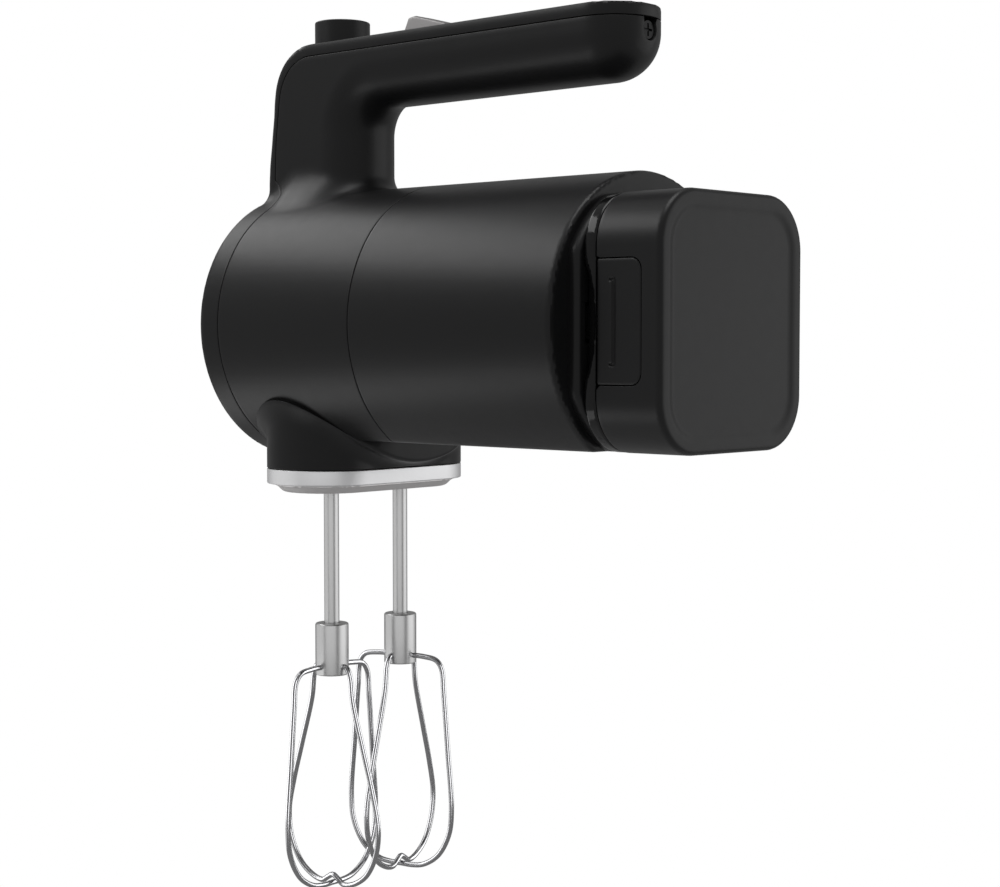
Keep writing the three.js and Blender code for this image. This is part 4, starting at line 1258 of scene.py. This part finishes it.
@dataclass
class Beater:
    """One beater: shaft, ferrule and two crossed wire loops.

    Attributes:
        shop: The workshop.
        side: "left" or "right".
        y: Y of its axis.
        wide_angle: Direction of its shouldered loop, in degrees.
    """

    shop: Workshop
    side: str
    y: float
    wide_angle: float

    def build(self) -> None:
        """Makes the beater's four pieces."""
        body = Body.BEATER_LEFT if self.side == "left" else Body.BEATER_RIGHT
        centre = (BEATER_X, self.y)
        foot, top = SHAFT_Z
        shaft = [(0, foot, 0), (SHAFT_R, foot, 0.3), (SHAFT_R, top - 0.6, 0.5), (0, top, 0)]
        foot, top = FERRULE_Z
        ferrule = [
            (FERRULE_BORE_R, foot, 0),
            (FERRULE_R, foot, 0.5),
            (FERRULE_R, top, 0.9),
            (FERRULE_BORE_R, top, 0.3),
            (FERRULE_BORE_R, foot, 0),
        ]
        for part, profile in (("shaft", shaft), ("ferrule", ferrule)):
            self.shop.piece(
                f"beater_{self.side}_{part}_turned",
                lathe(eased(profile), centre),
                SHAFT_STEEL,
                "beater_steel",
                body,
                [f"beater_{self.side}_{part}"],
            )
        for part, turn, path in (
            ("wide", 0, self.wide_path()),
            ("cross", 90, self.cross_path()),
        ):
            angle = math.radians(self.wide_angle + turn)
            radial, height = path.T
            x = BEATER_X + radial * math.cos(angle)
            y = self.y + radial * math.sin(angle)
            self.shop.piece(
                f"beater_{self.side}_{part}_wire",
                wire(np.stack([x, y, height], 1), WIRE_R),
                WIRE_STEEL,
                "beater_steel",
                body,
                [f"beater_{self.side}_{part}_loop"],
            )

    @staticmethod
    def loop(half: Sequence[tuple[float, float]], bottom: float) -> Array:
        """A whole loop from its half, through the lowest point."""
        left = np.array([*half, (0, bottom)], float)
        right = left[-2::-1] * [-1, 1]
        return curve_through(np.vstack([left, right]), 0.9)

    @classmethod
    def wide_path(cls) -> Array:
        """The loop with square shoulders and a flat foot, as (radius, z)."""
        half = [
            (3.6, -126.3),
            (11, -126.5),
            (16.4, -127.5),
            (18.8, -130.5),
            (19.8, -140),
            (21.6, -162),
            (23.2, -184),
            (22, -194),
            (17.2, -202.6),
            (10.6, -207),
            (5.4, -208),
        ]
        return cls.loop(half, -208)

    @classmethod
    def cross_path(cls) -> Array:
        """The loop that widens downwards, with a hump over the other one's foot."""
        half = [
            (3.6, -126.3),
            (7.3, -126.4),
            (9.2, -129.5),
            (10.6, -139),
            (16, -157),
            (20.6, -172),
            (23.2, -184),
            (22, -194),
            (17.2, -202.6),
            (10.6, -207),
            (5.4, -208),
            (2.6, -206.4),
        ]
        return cls.loop(half, -205.1)


# ------------------------------------------------------------------ studio


@dataclass
class Studio:
    """Camera, pale floor, white backdrop and soft lights.

    Attributes:
        shop: The workshop.
        eye: The camera's place in barrel millimetres.
        back: From what it looks at towards the camera.
        lens: Its focal length in millimetres.
    """

    shop: Workshop
    eye: tuple[float, float, float] = (390.03, -504.71, -5.99)
    back: tuple[float, float, float] = (0.6695, -0.7413, 0.0528)
    lens: float = 69.437

    def build(self) -> None:
        """Sets up everything that isn't the object."""
        self.camera()
        self.floor()
        self.backdrop()
        self.lights()
        self.world()

    def spot(self, point: Sequence[float]) -> Vector:
        """A barrel point as a Blender vector in metres."""
        return Vector(self.shop.metres(np.array([point], float))[0])

    def camera(self) -> None:
        """The camera, level with the barrel and off to its rear left."""
        data = bpy.data.cameras.new("camera")
        data.lens = self.lens
        data.sensor_width = 36.0
        data.clip_start = 0.01
        data.clip_end = 50.0
        obj = bpy.data.objects.new("camera", data)
        obj.location = self.spot(self.eye)
        obj.rotation_mode = "QUATERNION"
        obj.rotation_quaternion = Vector(self.back).to_track_quat("Z", "Y")
        bpy.context.scene.collection.objects.link(obj)
        bpy.context.scene.camera = obj

    def plane(self, name: str, half: float, material: bpy.types.Material) -> bpy.types.Object:
        """A square sheet that isn't part of the object."""
        mesh = bpy.data.meshes.new(name)
        corners = [(-half, -half, 0), (half, -half, 0), (half, half, 0), (-half, half, 0)]
        mesh.from_pydata(corners, [], [(0, 1, 2, 3)])
        mesh.materials.append(material)
        obj = bpy.data.objects.new(name, mesh)
        bpy.context.scene.collection.objects.link(obj)
        obj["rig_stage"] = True
        return obj

    def floor(self) -> None:
        """A pale matt floor below the beaters."""
        material = bpy.data.materials.new("floor_paper")
        material.use_nodes = True
        shader = material.node_tree.nodes["Principled BSDF"]
        shader.inputs["Base Color"].default_value = colour("CFCFCF")
        shader.inputs["Roughness"].default_value = 0.9
        floor = self.plane("floor", 0.4, material)
        floor.location = self.spot((-130, 20, -400))

    def backdrop(self) -> None:
        """A white sheet well behind the object, lit evenly."""
        material = bpy.data.materials.new("backdrop_white")
        material.use_nodes = True
        tree = material.node_tree
        tree.nodes.clear()
        glow = add(tree, "ShaderNodeEmission", inputs={"Color": (1, 1, 1, 1), "Strength": 1.0})
        add(tree, "ShaderNodeOutputMaterial", inputs={"Surface": glow.outputs[0]})
        sheet = self.plane("backdrop", SHEET_HALF, material)
        away = Vector(self.back)
        sheet.rotation_mode = "QUATERNION"
        sheet.rotation_quaternion = away.to_track_quat("Z", "Y")
        sheet.location = self.spot(BARREL_MIDDLE) - away * SHEET_AWAY
        sheet.visible_glossy = False
        sheet.visible_diffuse = False

    def softbox(
        self,
        name: str,
        direction: Sequence[float],
        distance: float,
        size: Sequence[float],
        power: float,
        lit: str | None = None,
    ) -> None:
        """A rectangular light that faces the barrel.

        Args:
            name: The light's name.
            direction: From the barrel towards the light.
            distance: In metres.
            size: Width and height in metres.
            power: In watts.
            lit: "wire" or "metal" when only those bright pieces are lit.
        """
        data = bpy.data.lights.new(name, "AREA")
        data.shape = "RECTANGLE"
        data.size, data.size_y = size
        data.energy = power
        obj = bpy.data.objects.new(name, data)
        away = Vector(direction).normalized()
        obj.location = self.spot(BARREL_MIDDLE) + away * distance
        obj.rotation_mode = "QUATERNION"
        obj.rotation_quaternion = away.to_track_quat("Z", "Y")
        obj.visible_camera = False
        bpy.context.scene.collection.objects.link(obj)
        if lit:
            obj.light_linking.receiver_collection = self.bright(lit)

    def bright(self, kind: str) -> bpy.types.Collection:
        """The bright wires, or the other bright metal, as a collection that lights tie to."""
        name = f"bright_{kind}"
        if name in bpy.data.collections:
            return bpy.data.collections[name]
        group = bpy.data.collections.new(name)
        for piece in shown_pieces():
            is_wire = piece.name.endswith("_wire")
            if piece.get("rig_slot") in BRIGHT_SLOTS and is_wire == (kind == "wire"):
                group.objects.link(piece)
        return group

    def lights(self) -> None:
        """A large box at the front left, one overhead and a weak one at the rear right."""
        self.softbox("key_box", (-0.67, -0.34, 0.66), 0.75, (0.9, 0.26), 1.3)
        self.softbox("low_box", (-0.67, -0.47, -0.57), 0.5, (0.6, 0.12), 0.16)
        self.softbox("top_box", (0.1, -0.05, 1.0), 0.9, (0.6, 0.6), 2.0)
        self.softbox("side_card", (0.75, 0.66, 0.05), 1.0, (0.9, 0.9), 1.1)
        self.softbox("metal_left", (-0.75, -0.66, 0.0), 0.9, (1.4, 0.9), 2.1, "metal")
        self.softbox("metal_right", (0.7, 0.7, -0.05), 0.9, (1.5, 0.9), 2.2, "metal")
        self.softbox("metal_front", (0.6, -0.8, 0.0), 1.2, (1.9, 1.0), 3.6, "metal")
        self.softbox("wire_left", (-0.75, -0.5, 0.05), 0.9, (0.65, 0.8), 5.2, "wire")
        self.softbox("wire_front", (0.85, -0.6, 0.0), 0.9, (0.5, 0.8), 3.4, "wire")
        self.softbox("wire_right", (0.5, 0.8, 0.05), 0.9, (0.65, 0.8), 4.2, "wire")

    def world(self) -> None:
        """A dim, even room."""
        scene = bpy.context.scene
        scene.world = bpy.data.worlds.new("room")
        scene.world.use_nodes = True
        shade = scene.world.node_tree.nodes["Background"]
        shade.inputs["Color"].default_value = (1, 1, 1, 1)
        shade.inputs["Strength"].default_value = 0.25
        scene.view_settings.view_transform = "Standard"
        scene.view_settings.look = "None"


def paint_frame(shop: Workshop, frame: dict[str, Any]) -> None:
    """Gives every CAD node the finish of its slot.

    Args:
        shop: The workshop.
        frame: What import_model() returned.
    """
    for part in frame["record"]["subparts"]:
        mesh = frame["nodes"][part["node"]].data
        mesh.materials.clear()
        mesh.materials.append(shop.material(SLOT_FINISHES[part["material_slot"]]))
        mesh.shade_smooth()
        mesh.set_sharp_from_angle(angle=FACET_ANGLE)


def main() -> None:
    """Builds the looks in order."""
    logging.basicConfig(level=logging.INFO, format="%(name)s: %(message)s")
    for old in list(bpy.data.objects):
        bpy.data.objects.remove(old)
    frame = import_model()
    shop = Workshop.from_frame()
    paint_frame(shop, frame)
    Housing(shop).build()
    Collar(shop).build()
    Battery(shop).build()
    Controls(shop).build()
    Beater(shop, "left", -BEATER_Y, 92.5).build()
    Beater(shop, "right", BEATER_Y, 11.5).build()
    Studio(shop).build()


if __name__ == "__main__":
    main()
